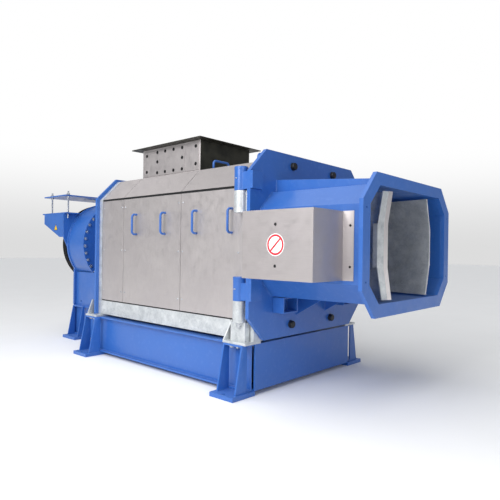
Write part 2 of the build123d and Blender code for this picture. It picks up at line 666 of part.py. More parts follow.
def screw():
    core = Pos(-(SCREW_REAR + SCREW_FRONT) / 2, 0, AXIS_Z) * Rot(0, 90, 0) * Cone(
        CORE_REAR_R, CORE_FRONT_R, SCREW_REAR - SCREW_FRONT
    )
    hollow = Pos(-(SCREW_REAR + SCREW_FRONT) / 2, 0, AXIS_Z) * Rot(0, 90, 0) * Cone(
        CORE_REAR_R - CORE_WALL, CORE_FRONT_R - CORE_WALL, SCREW_REAR - SCREW_FRONT - 2 * CORE_WALL
    )
    hollow += bar(SHAFT_R - 20, "x", -SCREW_REAR - 1, -SCREW_REAR + 2 * CORE_WALL, (0, AXIS_Z))
    blade = flight(SCREEN_R - SCREW_CLEARANCE, CORE_REAR_R - CORE_WALL / 2)
    save("press_screw", core + blade - hollow)
    carrier_front = -GEAR_REAR + GEAR_WIDTH + 30 + CARRIER
    save("drive_shaft", bar(SHAFT_R, "x", carrier_front, -SCREW_REAR, (0, AXIS_Z)))


# ---- gear unit
def gear_points(teeth, tip_r, root_r, half_tooth, pitch_r, start):
    """Outline of a gear with straight-sided teeth; half_tooth is half the width at the pitch circle."""
    points = []
    slope = math.tan(math.radians(20))
    for n in range(teeth):
        middle = start + 360 * n / teeth
        for r, sign in ((root_r, -1), (tip_r, -1), (tip_r, 1), (root_r, 1)):
            half = half_tooth - (r - pitch_r) * slope
            turn = math.radians(middle) + sign * half / r
            points.append((r * math.cos(turn), r * math.sin(turn)))
    return points


def gears():
    x0 = -GEAR_REAR
    x1 = -GEAR_REAR + GEAR_WIDTH
    pitch = {name: GEAR_MODULE * teeth / 2 for name, teeth in
             (("sun", SUN_TEETH), ("planet", PLANET_TEETH), ("ring", RING_TEETH))}
    half = GEAR_MODULE * math.pi / 4 - GEAR_BACKLASH / 2
    tip = GEAR_MODULE * 0.75
    root = GEAR_MODULE * 1.0

    sun = prism_x(gear_points(SUN_TEETH, pitch["sun"] + tip, pitch["sun"] - root, half, pitch["sun"], 90), x0, x1)
    shaft = bar(INPUT_SHAFT_R, "x", -PULLEY_REAR - 20, x1, (0, 0))
    save("sun_shaft", Pos(0, 0, AXIS_Z) * (sun + shaft))

    inside = ring_inside(pitch["ring"], tip, root, half)
    ring = bar(DRUM_R - DRUM_WALL, "x", x0, x1, (0, 0)) - prism_x(inside, x0 - 1, x1 + 1)
    save("ring_gear", Pos(0, 0, AXIS_Z) * ring)

    centre = pitch["sun"] + pitch["planet"]
    for n in range(3):
        turn = 90 + 120 * n
        y = centre * math.cos(math.radians(turn))
        z = centre * math.sin(math.radians(turn))
        planet_r = pitch["planet"]
        outline = gear_points(PLANET_TEETH, planet_r + tip, planet_r - root, half, planet_r, turn)
        planet = prism_x(outline, x0, x1) - bar(PLANET_PIN_R + RUNNING_CLEARANCE, "x", x0 - 1, x1 + 1, (0, 0))
        save(f"planet_gear_{n + 1}", Pos(0, y, z + AXIS_Z) * planet)

    carrier = bar(CARRIER_R, "x", x1 + 30, x1 + 30 + CARRIER, (0, AXIS_Z))
    for n in range(3):
        turn = math.radians(90 + 120 * n)
        at = (centre * math.cos(turn), AXIS_Z + centre * math.sin(turn))
        carrier += bar(PLANET_PIN_R, "x", x0 - 20, x1 + 30, at)
    save("planet_carrier", carrier)


def ring_inside(pitch_r, tip, root, half):
    """Outline of the space inside the ring gear: its spaces are where a planet tooth enters."""
    points = []
    slope = math.tan(math.radians(20))
    space = GEAR_MODULE * math.pi / 2 - half
    for n in range(RING_TEETH):
        middle = math.radians(90 + 360 * n / RING_TEETH)
        for r, sign in ((pitch_r - tip, -1), (pitch_r + root, -1), (pitch_r + root, 1), (pitch_r - tip, 1)):
            wide = space - (r - pitch_r) * slope
            turn = middle + sign * wide / r
            points.append((r * math.cos(turn), r * math.sin(turn)))
    return points


def gear_housing():
    drum = bar(DRUM_R, "x", -DRUM_REAR, -DRUM_FRONT, (0, AXIS_Z))
    drum += bar(DRUM_RIM_R, "x", -DRUM_REAR, -DRUM_REAR + DRUM_RIM, (0, AXIS_Z))
    drum += bar(DRUM_RIM_R, "x", -DRUM_FRONT - DRUM_RIM, -DRUM_FRONT, (0, AXIS_Z))
    drum -= bar(DRUM_R - DRUM_WALL, "x", -DRUM_REAR + DRUM_WALL, -DRUM_FRONT - DRUM_WALL, (0, AXIS_Z))
    drum -= bar(INPUT_SHAFT_R + 10, "x", -DRUM_REAR - 1, -DRUM_REAR + DRUM_WALL + 1, (0, AXIS_Z))
    drum -= bar(BEARING_R, "x", -DRUM_FRONT - DRUM_WALL - 1, -DRUM_FRONT + 1, (0, AXIS_Z))
    save("gear_drum", drum)

    lantern_x = (-DRUM_FRONT, -REAR_BULKHEAD_FACE - REAR_BULKHEAD)
    lantern = bar(LANTERN_R, "x", *lantern_x, (0, AXIS_Z))
    lantern -= bar(LANTERN_R - LANTERN_WALL, "x", lantern_x[0] - 1, lantern_x[1] + 1, (0, AXIS_Z))
    save("lantern_housing", lantern)

    bearings = []
    for x in (-DRUM_FRONT - DRUM_WALL, -REAR_BULKHEAD_FACE - BEARING_WIDTH):
        width = DRUM_WALL if x < -DRUM_FRONT else BEARING_WIDTH
        ring = bar(BEARING_R, "x", x, x + width, (0, AXIS_Z))
        bearings.append(ring - bar(SHAFT_R + RUNNING_CLEARANCE, "x", x - 1, x + width + 1, (0, AXIS_Z)))
    save("shaft_bearings", bearings)


def belt_pulley():
    x0 = -PULLEY_REAR
    wheel = bar(PULLEY_R, "x", x0, x0 + PULLEY_WIDTH, (0, AXIS_Z))
    pitch = PULLEY_WIDTH / PULLEY_GROOVES
    for n in range(PULLEY_GROOVES):
        x = x0 + pitch * (n + 0.5)
        groove = bar(PULLEY_R + 5, "x", x - 5, x + 5, (0, AXIS_Z))
        wheel -= groove - bar(PULLEY_R - 14, "x", x - 6, x + 6, (0, AXIS_Z))
    wheel -= bar(PULLEY_R - 60, "x", x0 - 1, x0 + 35, (0, AXIS_Z)) - bar(130, "x", x0 - 2, x0 + 36, (0, AXIS_Z))
    wheel -= bar(INPUT_SHAFT_R, "x", x0 - 1, x0 + PULLEY_WIDTH + 1, (0, AXIS_Z))
    save("belt_pulley", wheel)


# ---- drive support
def drive_support():
    plate_x = (-DRUM_REAR - END_PLATE, -DRUM_REAR)
    half = [
        (COLUMN_HALF_WIDTH, BASE_TOP + 5),
        (COLUMN_HALF_WIDTH, COLUMN_TOP),
        (CONSOLE_HALF_WIDTH, CONSOLE_SHOULDER),
        (CONSOLE_HALF_WIDTH, CONSOLE_TOP),
    ]
    console = prism_x(half + [(-y, z) for y, z in reversed(half)], *plate_x)
    console -= bar(INPUT_SHAFT_R + 10, "x", plate_x[0] - 1, plate_x[1] + 1, (0, AXIS_Z))
    profile = [
        (plate_x[0], CONSOLE_TOP),
        (-CONSOLE_REAR, CONSOLE_TOP),
        (-CONSOLE_REAR, CONSOLE_SIDE_REAR_Z),
        (plate_x[0] - CONSOLE_SIDE_TOE, CONSOLE_SHOULDER + 5),
        (plate_x[0], CONSOLE_SHOULDER + 5),
    ]
    sides = mirrored(prism_y(profile, -CONSOLE_HALF_WIDTH, -CONSOLE_HALF_WIDTH + SIDE_PLATE))
    save("drive_console", console, sides)

    top = (CONSOLE_TOP, CONSOLE_TOP + CONSOLE_PLATE)
    reach = math.sqrt(DRUM_RIM_R**2 - (CONSOLE_TOP - AXIS_Z) ** 2) + 25
    deck_x = (-CONSOLE_PLATE_REAR, -PULLEY_REAR - 25)
    deck = block(deck_x, (-CONSOLE_HALF_WIDTH, CONSOLE_HALF_WIDTH), top)
    arm = block((deck_x[1], -CONSOLE_PLATE_FRONT), (-CONSOLE_HALF_WIDTH, -reach), top)
    for y in (-ROD_Y, ROD_Y):
        deck -= bar(ROD_R, "z", top[0] - 1, top[1] + 1, (-ROD_X[0], y))
        arm -= bar(ROD_R, "z", top[0] - 1, top[1] + 1, (-ROD_X[1], y))
    save("console_plate", deck, mirrored(arm))

    rods = []
    for x in ROD_X:
        rods += mirrored(bar(ROD_R, "z", ROD_BOTTOM, ROD_TOP, (-x, -ROD_Y)))
    save("threaded_rods", rods)


def motor_plate():
    z = (MOTOR_PLATE_Z, MOTOR_PLATE_Z + MOTOR_PLATE)
    plate = block((-MOTOR_PLATE_REAR, -MOTOR_PLATE_FRONT), (-CONSOLE_HALF_WIDTH, CONSOLE_HALF_WIDTH), z)
    belt_x = (-PULLEY_REAR - 30, -PULLEY_REAR + PULLEY_WIDTH + 30)
    plate -= block(belt_x, (-MOTOR_SLOT_HALF, MOTOR_SLOT_HALF), (z[0] - 1, z[1] + 1))
    for x in ROD_X:
        for y in (-ROD_Y, ROD_Y):
            plate -= bar(ROD_R + ROD_CLEARANCE, "z", z[0] - 1, z[1] + 1, (-x, y))
    for x in MOTOR_HOLE_X:
        for y in (-MOTOR_HOLE_Y, MOTOR_HOLE_Y):
            plate -= bar(MOTOR_HOLE_R, "z", z[0] - 1, z[1] + 1, (-x, y))
    save("motor_plate", plate)

    nuts = []
    for x in ROD_X:
        for z0 in (z[0] - NUT, z[1]):
            nut = hexagon_bar(NUT_R, "z", z0, z0 + NUT, (-x, -ROD_Y))
            nuts += mirrored(nut - bar(ROD_R + ROD_CLEARANCE, "z", z0 - 1, z0 + NUT + 1, (-x, -ROD_Y)))
    save("plate_nuts", nuts)


def pedestal():
    x = (-DRUM_REAR, -COLUMN_FRONT)
    drum = bar(DRUM_RIM_R, "x", x[0] - 1, x[1] + 1, (0, AXIS_Z))
    outside = -COLUMN_HALF_WIDTH
    web_y = outside + COLUMN_WEB_RECESS
    flange_y = (outside, outside + COLUMN_FLANGE)
    column = block(x, (web_y, web_y + COLUMN_WEB), (FOOT_PLATE, COLUMN_TOP))
    for x0 in (x[0], x[1] - COLUMN_WEB):
        column += block((x0, x0 + COLUMN_WEB), flange_y, (FOOT_PLATE, COLUMN_TOP))
    for z0 in (FOOT_PLATE, BASE_TOP - COLUMN_WEB):
        column += block(x, flange_y, (z0, z0 + COLUMN_WEB))
    for z in COLUMN_HOLE_Z:
        column -= bar(COLUMN_HOLE_R, "y", outside, web_y + COLUMN_WEB + 1, (-COLUMN_HOLE_X, z))
    depth = PEDESTAL_HALF_WIDTH - COLUMN_HALF_WIDTH
    stand = foot(x[0], x[0] + PEDESTAL_FOOT_LENGTH, -PEDESTAL_HALF_WIDTH, depth + COLUMN_FLANGE, outside)
    saddles = []
    for x0 in (x[0], x[1] - COLUMN_WEB):
        side_y = flange_y[1]
        saddles.append(block((x0, x0 + COLUMN_WEB), (side_y, -side_y), (FOOT_PLATE, COLUMN_TOP)) - drum)
    save("pedestal", mirrored(column + stand - drum), saddles)


# ---- hinge
def hinge():
    at = (HINGE_X, HINGE_Y)
    block_z = (BODY_BOTTOM, LOWER_FIXED[0])
    fixed = [block(HINGE_BLOCK_X, (HINGE_Y, HINGE_Y + HINGE_BLOCK_DEPTH), block_z)]
    fixed[0] = fixed[0] + bar(BARREL_R, "z", *LOWER_FIXED, at) - bar(HINGE_PIN_R, "z", block_z[1] - 60, 1300, at)
    arm_x = (HINGE_X, -BODY_FRONT + FRONT_BULKHEAD - FRONT_FACE_GAP)
    upper = bar(BARREL_R, "z", *UPPER_FIXED, at)
    upper += block(arm_x, (HINGE_Y, -BODY_HALF_WIDTH), UPPER_FIXED)
    fixed.append(upper - bar(HINGE_PIN_R, "z", UPPER_FIXED[0] - 1, UPPER_FIXED[1] + 1, at))
    save("hinge_posts", fixed)

    pins = [
        bar(HINGE_PIN_R, "z", LOWER_FIXED[0] - 60, LOWER_MOVING[1] - 10, at),
        bar(HINGE_PIN_R, "z", UPPER_FIXED[0], UPPER_MOVING[1] - 30, at),
    ]
    save("hinge_pins", pins)

    knuckles = []
    plate_rear = PLATE_FACE - PLATE
    for z0, z1, top in (LOWER_MOVING + (0,), UPPER_MOVING + (20,)):
        low = z0 + KNUCKLE_GAP
        barrel = bar(BARREL_R, "z", low, z1, at)
        barrel += block((HINGE_X, plate_rear), (-PLATE_HALF_WIDTH + 15, HINGE_Y + 25), (low + 10, z1 - 60))
        barrel -= bar(HINGE_PIN_R + RUNNING_CLEARANCE, "z", low - 1, z1 - 10 - top, at)
        strap_y = (-PLATE_HALF_WIDTH, -PLATE_HALF_WIDTH + STRAP_WIDTH)
        strap_z = (low + 10, z1 - 60 if top else z1 - 10)
        knuckles += [barrel, block((PLATE_FACE, PLATE_FACE + STRAP_THICKNESS), strap_y, strap_z)]
    save("hinge_knuckles", knuckles)


# ---- hinged discharge housing
def mouth(extra_y=0.0, grow=0.0):
    """Inside section of the tunnel, wider by extra_y on each side and grown outwards by grow."""
    chamfer = MOUTH_CHAMFER + grow * (1 - CORNER_SHIFT)
    half_width = MOUTH_HALF_WIDTH + extra_y + grow
    return octagon(half_width, MOUTH_BOTTOM - grow, MOUTH_TOP + grow, chamfer, chamfer)


def tunnel_body(grow, start=PLATE_FACE, end=FLANGE_FACE - FLANGE):
    """Tapered octagonal solid: the tunnel's inside grown by one wall distance."""
    run = FLANGE_FACE - FLANGE - PLATE_FACE
    extras = [TUNNEL_ROOT_EXTRA * (FLANGE_FACE - FLANGE - x) / run for x in (start, end)]
    return ruled_x(mouth(extras[0], grow), start, mouth(extras[1], grow), end)


def housing():
    plate_x = (PLATE_FACE - PLATE, PLATE_FACE)
    outline = octagon(PLATE_HALF_WIDTH, PLATE_BOTTOM, PLATE_TOP, PLATE_CHAMFER, PLATE_CHAMFER)
    plate = prism_x(outline, *plate_x)
    plate -= prism_x(mouth(TUNNEL_ROOT_EXTRA), plate_x[0] - 1, plate_x[1] + 1)
    for z in CAP_Z:
        for y in (-CAP_Y, CAP_Y):
            plate -= bar(CLOSING_BOLT_R + 1, "x", plate_x[0] - 1, plate_x[1] + 1, (y, z))
    save("front_plate", plate)

    end = FLANGE_FACE - FLANGE
    tunnel = tunnel_body(TUNNEL_WALL) - tunnel_body(0, PLATE_FACE - 1, end + 1)
    wall_y = (MOUTH_HALF_WIDTH - 100, MOUTH_HALF_WIDTH + 200)
    for side in (-1, 1):
        tunnel -= bar(PUSH_ROD_R + PUSH_ROD_HOLE_GAP, "y", side * wall_y[0], side * wall_y[1], (CYLINDER_X, AXIS_Z))
    save("discharge_tunnel", tunnel)

    outline = octagon(FLANGE_HALF_WIDTH, FLANGE_BOTTOM, FLANGE_TOP, FLANGE_CHAMFER_Y, FLANGE_CHAMFER_Z)
    flange = prism_x(outline, end, FLANGE_FACE) - prism_x(mouth(), end - 1, FLANGE_FACE + 1)
    for y in (-FLANGE_HOLE_Y, FLANGE_HOLE_Y):
        for z in (AXIS_Z - FLANGE_HOLE_Z, AXIS_Z + FLANGE_HOLE_Z):
            flange -= bar(FLANGE_HOLE_R, "x", end - 1, FLANGE_FACE + 1, (y, z))
    save("discharge_flange", flange)

    rib_y = MOUTH_HALF_WIDTH - MOUTH_CHAMFER
    top = MOUTH_TOP + TUNNEL_WALL
    rib = [(PLATE_FACE, top), (end, top), (end, top + RIB_TIP), (PLATE_FACE, top + RIB_ROOT)]
    bottom = MOUTH_BOTTOM - TUNNEL_WALL
    gusset = [(PLATE_FACE, bottom), (PLATE_FACE + GUSSET_LENGTH, bottom), (PLATE_FACE, bottom - GUSSET_DEPTH)]
    pocket = block((PLATE_FACE, PLATE_FACE + POCKET_DEPTH), (-POCKET_Y[1], -POCKET_Y[0]), POCKET_Z)
    inner_y = (-POCKET_Y[1] + RIB, -POCKET_Y[0] - RIB)
    inner_z = (POCKET_Z[0] + RIB, POCKET_Z[1] - RIB)
    pocket -= block((PLATE_FACE + RIB, PLATE_FACE + POCKET_DEPTH + 1), inner_y, inner_z)
    stiffeners = mirrored(prism_y(rib, -rib_y, -rib_y + RIB))
    stiffeners += mirrored(prism_y(gusset, -GUSSET_Y, -GUSSET_Y + RIB))
    save("tunnel_stiffeners", stiffeners, mirrored(pocket))

    bolts = []
    caps = []
    for z in CAP_Z:
        for y in (-CAP_Y, CAP_Y):
            bolt = bar(CLOSING_BOLT_R, "x", plate_x[0] + 1, PLATE_FACE, (y, z))
            bolts.append(bolt + bar(CLOSING_BOLT_R + 9, "x", PLATE_FACE, PLATE_FACE + 19, (y, z)))
            cap = bar(CAP_R, "x", PLATE_FACE, PLATE_FACE + CAP_LENGTH, (y, z))
            caps.append(cap - bar(CAP_R - 6, "x", PLATE_FACE - 1, PLATE_FACE + CAP_LENGTH - 6, (y, z)))
    save("closing_bolts", bolts)
    save("closing_caps", caps)


def guards():
    tunnel = tunnel_body(TUNNEL_WALL + 0.5)
    inner_y = -MOUTH_HALF_WIDTH + 40
    shell = block((GUARD_REAR, GUARD_FRONT), (-GUARD_HALF_WIDTH, inner_y), GUARD_Z)
    inside_x = (GUARD_REAR + GUARD_SHEET, GUARD_FRONT - GUARD_SHEET)
    inside_z = (GUARD_Z[0] + GUARD_SHEET, GUARD_Z[1] - GUARD_SHEET)
    shell -= block(inside_x, (-GUARD_HALF_WIDTH + GUARD_SHEET, inner_y + 1), inside_z)
    lip = tunnel_body(TUNNEL_WALL + 0.5 + GUARD_SHEET)
    shell += lip & block((GUARD_FRONT - 1, GUARD_FRONT + GUARD_LIP), (-GUARD_HALF_WIDTH, inner_y), GUARD_Z)
    save("cylinder_guards", mirrored(shell - tunnel))

    heads = []
    lip_x = GUARD_FRONT + GUARD_LIP - 36
    run = FLANGE_FACE - FLANGE - PLATE_FACE
    taper = TUNNEL_ROOT_EXTRA * (FLANGE_FACE - FLANGE - lip_x) / run
    wall_y = MOUTH_HALF_WIDTH + taper + TUNNEL_WALL + GUARD_SHEET + 1
    for z in GUARD_SCREW_Z:
        heads += mirrored(bar(SCREW_HEAD_R, "y", -wall_y - SCREW_HEAD, -wall_y, (lip_x, z)))
        heads += mirrored(
            bar(SCREW_HEAD_R, "y", -GUARD_HALF_WIDTH - SCREW_HEAD, -GUARD_HALF_WIDTH, (CYLINDER_X, z))
        )
    save("guard_screws", heads)


# ---- jaws
def jaw_section(y, bends, shift):
    """C-shaped (y, z) section of the near jaw; y is the half gap and shift moves it outwards."""
    edge = y - JAW_EDGE_IN
    inner = [(-edge, JAW_BOTTOM), (-y, bends[0]), (-y, bends[1]), (-edge, JAW_TOP)]
    outer = [(-edge - shift, JAW_TOP), (-y - shift, bends[1]), (-y - shift, bends[0]), (-edge - shift, JAW_BOTTOM)]
    return inner + outer


def jaw_lip():
    """Lip along the tip of the near jaw, which leans back towards its outer edge."""
    inner = JAW_WALL - 4
    outer = JAW_LIP_WIDTH
    tip = JAW_TIP
    back = JAW_TIP - JAW_LIP_BACK
    section = [(tip, -inner), (tip, -JAW_WALL), (back, -outer), (back - JAW_LIP, -outer), (tip - JAW_LIP, -inner)]
    edge = [
        (-JAW_TIP_Y + JAW_EDGE_IN, JAW_BOTTOM),
        (-JAW_TIP_Y, JAW_TIP_BENDS[0]),
        (-JAW_TIP_Y, JAW_TIP_BENDS[1]),
        (-JAW_TIP_Y + JAW_EDGE_IN, JAW_TOP),
    ]
    bars = []
    for (y0, z0), (y1, z1) in zip(edge, edge[1:]):
        face = Plane.XY.offset(z0) * Polygon(*[(x, y0 + dy) for x, dy in section], align=None)
        bars.append(Solid.extrude(face.face(), Vector(0, y1 - y0, z1 - z0)))
    return bars


def jaws():
    root = jaw_section(JAW_ROOT_Y, JAW_ROOT_BENDS, JAW_WALL)
    tip = jaw_section(JAW_TIP_Y, JAW_TIP_BENDS, JAW_WALL)
    jaw = ruled_x(root, JAW_REAR, tip, JAW_TIP)
    jaw += jaw_lip()
    return_x = (JAW_TIP - JAW_LIP_BACK - JAW_RETURN, JAW_TIP - JAW_LIP_BACK)
    return_y = -JAW_TIP_Y - JAW_LIP_WIDTH
    jaw += block(return_x, (return_y - JAW_RETURN_WALL, return_y), JAW_TIP_BENDS)
    at = (JAW_PIVOT_X, -JAW_PIVOT_Y)
    jaw += bar(JAW_BARREL_R, "z", *JAW_BARREL_Z, at)
    link_y = (-JAW_PIVOT_Y, -JAW_ROOT_Y - JAW_WALL / 2)
    jaw += block((JAW_PIVOT_X, JAW_PIVOT_X + 30), link_y, JAW_BARREL_Z)
    jaw -= bar(JAW_PIN_R + RUNNING_CLEARANCE, "z", JAW_BARREL_Z[0] - 1, JAW_BARREL_Z[1] + 1, at)
    save("left_jaw", jaw)
    save("right_jaw", mirror(jaw, about=Plane.XZ))

    brackets = []
    pins = []
    for z in (JAW_BARREL_Z[0] - 1 - JAW_BRACKET, JAW_BARREL_Z[1] + 1):
        half = JAW_BRACKET_R
        reach = -MOUTH_HALF_WIDTH - TUNNEL_ROOT_EXTRA - 1
        bracket = block((JAW_PIVOT_X - half, JAW_PIVOT_X + half), (reach, -JAW_PIVOT_Y), (z, z + JAW_BRACKET))
        bracket += bar(half, "z", z, z + JAW_BRACKET, at)
        bracket -= bar(JAW_PIN_R, "z", z - 1, z + JAW_BRACKET + 1, at)
        bracket &= tunnel_body(0)
        brackets += mirrored(bracket)
    pin = bar(JAW_PIN_R, "z", JAW_BARREL_Z[0] - JAW_BRACKET - 15, JAW_BARREL_Z[1] + JAW_BRACKET + 15, at)
    pins += mirrored(pin)
    save("jaw_brackets", brackets)
    save("jaw_pins", pins)


def cylinders():
    at = (CYLINDER_X, AXIS_Z)
    bore_r = CYLINDER_R - CYLINDER_WALL
    barrel = bar(CYLINDER_R, "y", -CYLINDER_END, -CYLINDER_START, at)
    barrel -= bar(bore_r, "y", -CYLINDER_END + 15, -CYLINDER_START - 20, at)
    barrel -= bar(PUSH_ROD_R + RUNNING_CLEARANCE, "y", -CYLINDER_START - 21, -CYLINDER_START + 1, at)
    save("jaw_cylinders", mirrored(barrel))

    share = (CYLINDER_X - JAW_REAR) / (JAW_TIP - JAW_REAR)
    jaw_y = JAW_ROOT_Y + (JAW_TIP_Y - JAW_ROOT_Y) * share + JAW_WALL
    slope = math.atan((JAW_ROOT_Y - JAW_TIP_Y) / (JAW_TIP - JAW_REAR))
    ball_y = -(jaw_y + (ROD_END_R + PUSH_GAP) / math.cos(slope))
    rod = bar(PUSH_ROD_R, "y", -CYLINDER_END + 165, ball_y, at)
    rod += bar(bore_r - RUNNING_CLEARANCE, "y", -CYLINDER_END + 125, -CYLINDER_END + 165, at)
    rod += Pos(CYLINDER_X, ball_y, AXIS_Z) * Sphere(ROD_END_R)
    save("left_push_rod", rod)
    save("right_push_rod", mirror(rod, about=Plane.XZ))


def main():
    os.makedirs("parts", exist_ok=True)
    for make in (
        base_frame,
        bulkheads,
        trough,
        covers,
        chute,
        screen,
        screw,
        gears,
        gear_housing,
        belt_pulley,
        drive_support,
        motor_plate,
        pedestal,
        hinge,
        housing,
        guards,
        jaws,
        cylinders,
    ):
        make()


main()
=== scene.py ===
import json
import math

import bmesh
import bpy
from mathutils import Matrix, Vector


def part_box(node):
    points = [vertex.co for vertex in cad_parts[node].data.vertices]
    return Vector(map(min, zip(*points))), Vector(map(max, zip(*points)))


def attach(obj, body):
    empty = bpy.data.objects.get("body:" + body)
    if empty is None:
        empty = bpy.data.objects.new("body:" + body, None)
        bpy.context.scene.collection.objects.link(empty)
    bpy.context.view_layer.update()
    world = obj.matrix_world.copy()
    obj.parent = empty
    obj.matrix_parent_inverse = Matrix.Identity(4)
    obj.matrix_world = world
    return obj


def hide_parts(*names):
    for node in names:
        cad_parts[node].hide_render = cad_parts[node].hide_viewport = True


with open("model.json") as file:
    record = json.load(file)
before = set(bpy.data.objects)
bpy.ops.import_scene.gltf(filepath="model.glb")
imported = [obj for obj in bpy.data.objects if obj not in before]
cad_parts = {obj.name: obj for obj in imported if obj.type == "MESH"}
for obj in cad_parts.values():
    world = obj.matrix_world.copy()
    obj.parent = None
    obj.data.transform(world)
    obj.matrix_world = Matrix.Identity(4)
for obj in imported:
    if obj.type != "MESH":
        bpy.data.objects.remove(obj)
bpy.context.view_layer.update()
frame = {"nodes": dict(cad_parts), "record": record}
NODES = frame["nodes"]
BODY_OF = {n: b for b, group in frame["record"]["behaviour"]["bodies"].items() for n in group}
SLOT_OF = {row["node"]: row["material_slot"] for row in frame["record"]["subparts"]}
MM = 0.001
# Sizes that several pieces share.
FOOT_LENGTH = 339 * MM
BARREL_RADIUS_MM = 72.5
FILM_MM = 0.6
MERGE_MM = 0.02
# Sockets of a colour Mix node, and of a Map Range node.
FACTOR, A, B = 0, 6, 7
VALUE, FROM_MIN, FROM_MAX, TO_MIN, TO_MAX = 0, 1, 2, 3, 4


# ---- nodes and colours
def linear(hex_colour):
    """Linear RGBA of an sRGB hex colour."""
    out = []
    for n in (0, 2, 4):
        c = int(hex_colour[n:n + 2], 16) / 255
        out.append(c / 12.92 if c <= 0.04045 else ((c + 0.055) / 1.055) ** 2.4)
    return (*out, 1.0)


def add(tree, kind, inputs=None, **settings):
    """Add a node. An input is a plain value, or a socket or node to link from."""
    made = tree.nodes.new(kind)
    for name, value in settings.items():
        setattr(made, name, value)
    for key, value in (inputs or {}).items():
        if isinstance(value, bpy.types.Node):
            value = value.outputs[0]
        if isinstance(value, bpy.types.NodeSocket):
            tree.links.new(value, made.inputs[key])
        else:
            made.inputs[key].default_value = value
    return made


def surface(name, values):
    """New material; returns it with its tree, its shader and the object coordinates in metres."""
    made = bpy.data.materials.new(name)
    made.use_nodes = True
    tree = made.node_tree
    shader = tree.nodes["Principled BSDF"]
    for key, value in values.items():
        shader.inputs[key].default_value = value
    coords = add(tree, "ShaderNodeTexCoord").outputs["Object"]
    return made, tree, shader, coords


def finish(tree, shader, colour, rough, height=None, depth_mm=0.0):
    """Link a colour, a roughness and, if given, a relief of depth_mm to the shader."""
    tree.links.new(colour, shader.inputs["Base Color"])
    tree.links.new(rough.outputs[0], shader.inputs["Roughness"])
    if height:
        relief = add(tree, "ShaderNodeBump", {"Height": height, "Distance": depth_mm * MM})
        tree.links.new(relief.outputs[0], shader.inputs["Normal"])


# ---- materials
def blue_enamel():
    """Two-pack machine enamel, sprayed: an even glossy blue with a faint orange peel.

    A little dust lies on top, and the pale tint on upward faces is also a painted highlight where
    the overhead light falls. Clouds are about 670 mm across, scuffs 45 mm, dust and highlight patches
    170 mm and the orange peel 9 mm, coarser than the real 2 mm so that it shows."""
    values = {"IOR": 1.5, "Coat Weight": 0.25, "Coat Roughness": 0.18}
    made, tree, shader, coords = surface("blue_machine_enamel", values)
    cloud = add(tree, "ShaderNodeTexNoise", {"Vector": coords, "Scale": 1.5, "Detail": 2.0})
    wear = add(tree, "ShaderNodeTexNoise", {"Vector": coords, "Scale": 22.0, "Detail": 5.0})
    dust_and_highlight_noise = add(tree, "ShaderNodeTexNoise", {"Vector": coords, "Scale": 6.0, "Detail": 4.0})
    peel = add(tree, "ShaderNodeTexNoise", {"Vector": coords, "Scale": 110.0, "Detail": 1.0})
    tint = {FACTOR: cloud, A: linear("2C60AE"), B: linear("3369BA")}
    colour = add(tree, "ShaderNodeMix", tint, data_type="RGBA").outputs[2]
    reach = {VALUE: wear, FROM_MIN: 0.55, FROM_MAX: 0.8, TO_MAX: 0.12}
    scuffs = add(tree, "ShaderNodeMapRange", reach)
    tint = {FACTOR: scuffs, A: colour, B: linear("7C9CD6")}
    colour = add(tree, "ShaderNodeMix", tint, data_type="RGBA").outputs[2]
    # Upward faces turn pale: partly real dust, partly a painted highlight where the overhead light falls
    # on them.
    normal = add(tree, "ShaderNodeNewGeometry").outputs["Normal"]
    facing = add(tree, "ShaderNodeSeparateXYZ", {0: normal}).outputs["Z"]
    level = add(tree, "ShaderNodeMapRange", {VALUE: facing, FROM_MIN: 0.6, FROM_MAX: 0.95})
    reach = {VALUE: dust_and_highlight_noise, FROM_MIN: 0.3, FROM_MAX: 0.7, TO_MIN: 0.06, TO_MAX: 0.18}
    amount = add(tree, "ShaderNodeMapRange", reach)
    dust_and_highlight = add(tree, "ShaderNodeMath", {0: amount, 1: level}, operation="MULTIPLY")
    # Pale blue A9BEE2 on top faces: dust and painted highlight together.
    tint = {FACTOR: dust_and_highlight, A: colour, B: linear("A9BEE2")}
    colour = add(tree, "ShaderNodeMix", tint, data_type="RGBA").outputs[2]
    reach = {VALUE: dust_and_highlight_noise, FROM_MIN: 0.3, FROM_MAX: 0.7, TO_MIN: 0.28, TO_MAX: 0.44}
    rough = add(tree, "ShaderNodeMapRange", reach)
    finish(tree, shader, colour, rough, peel, 0.12)
    return made


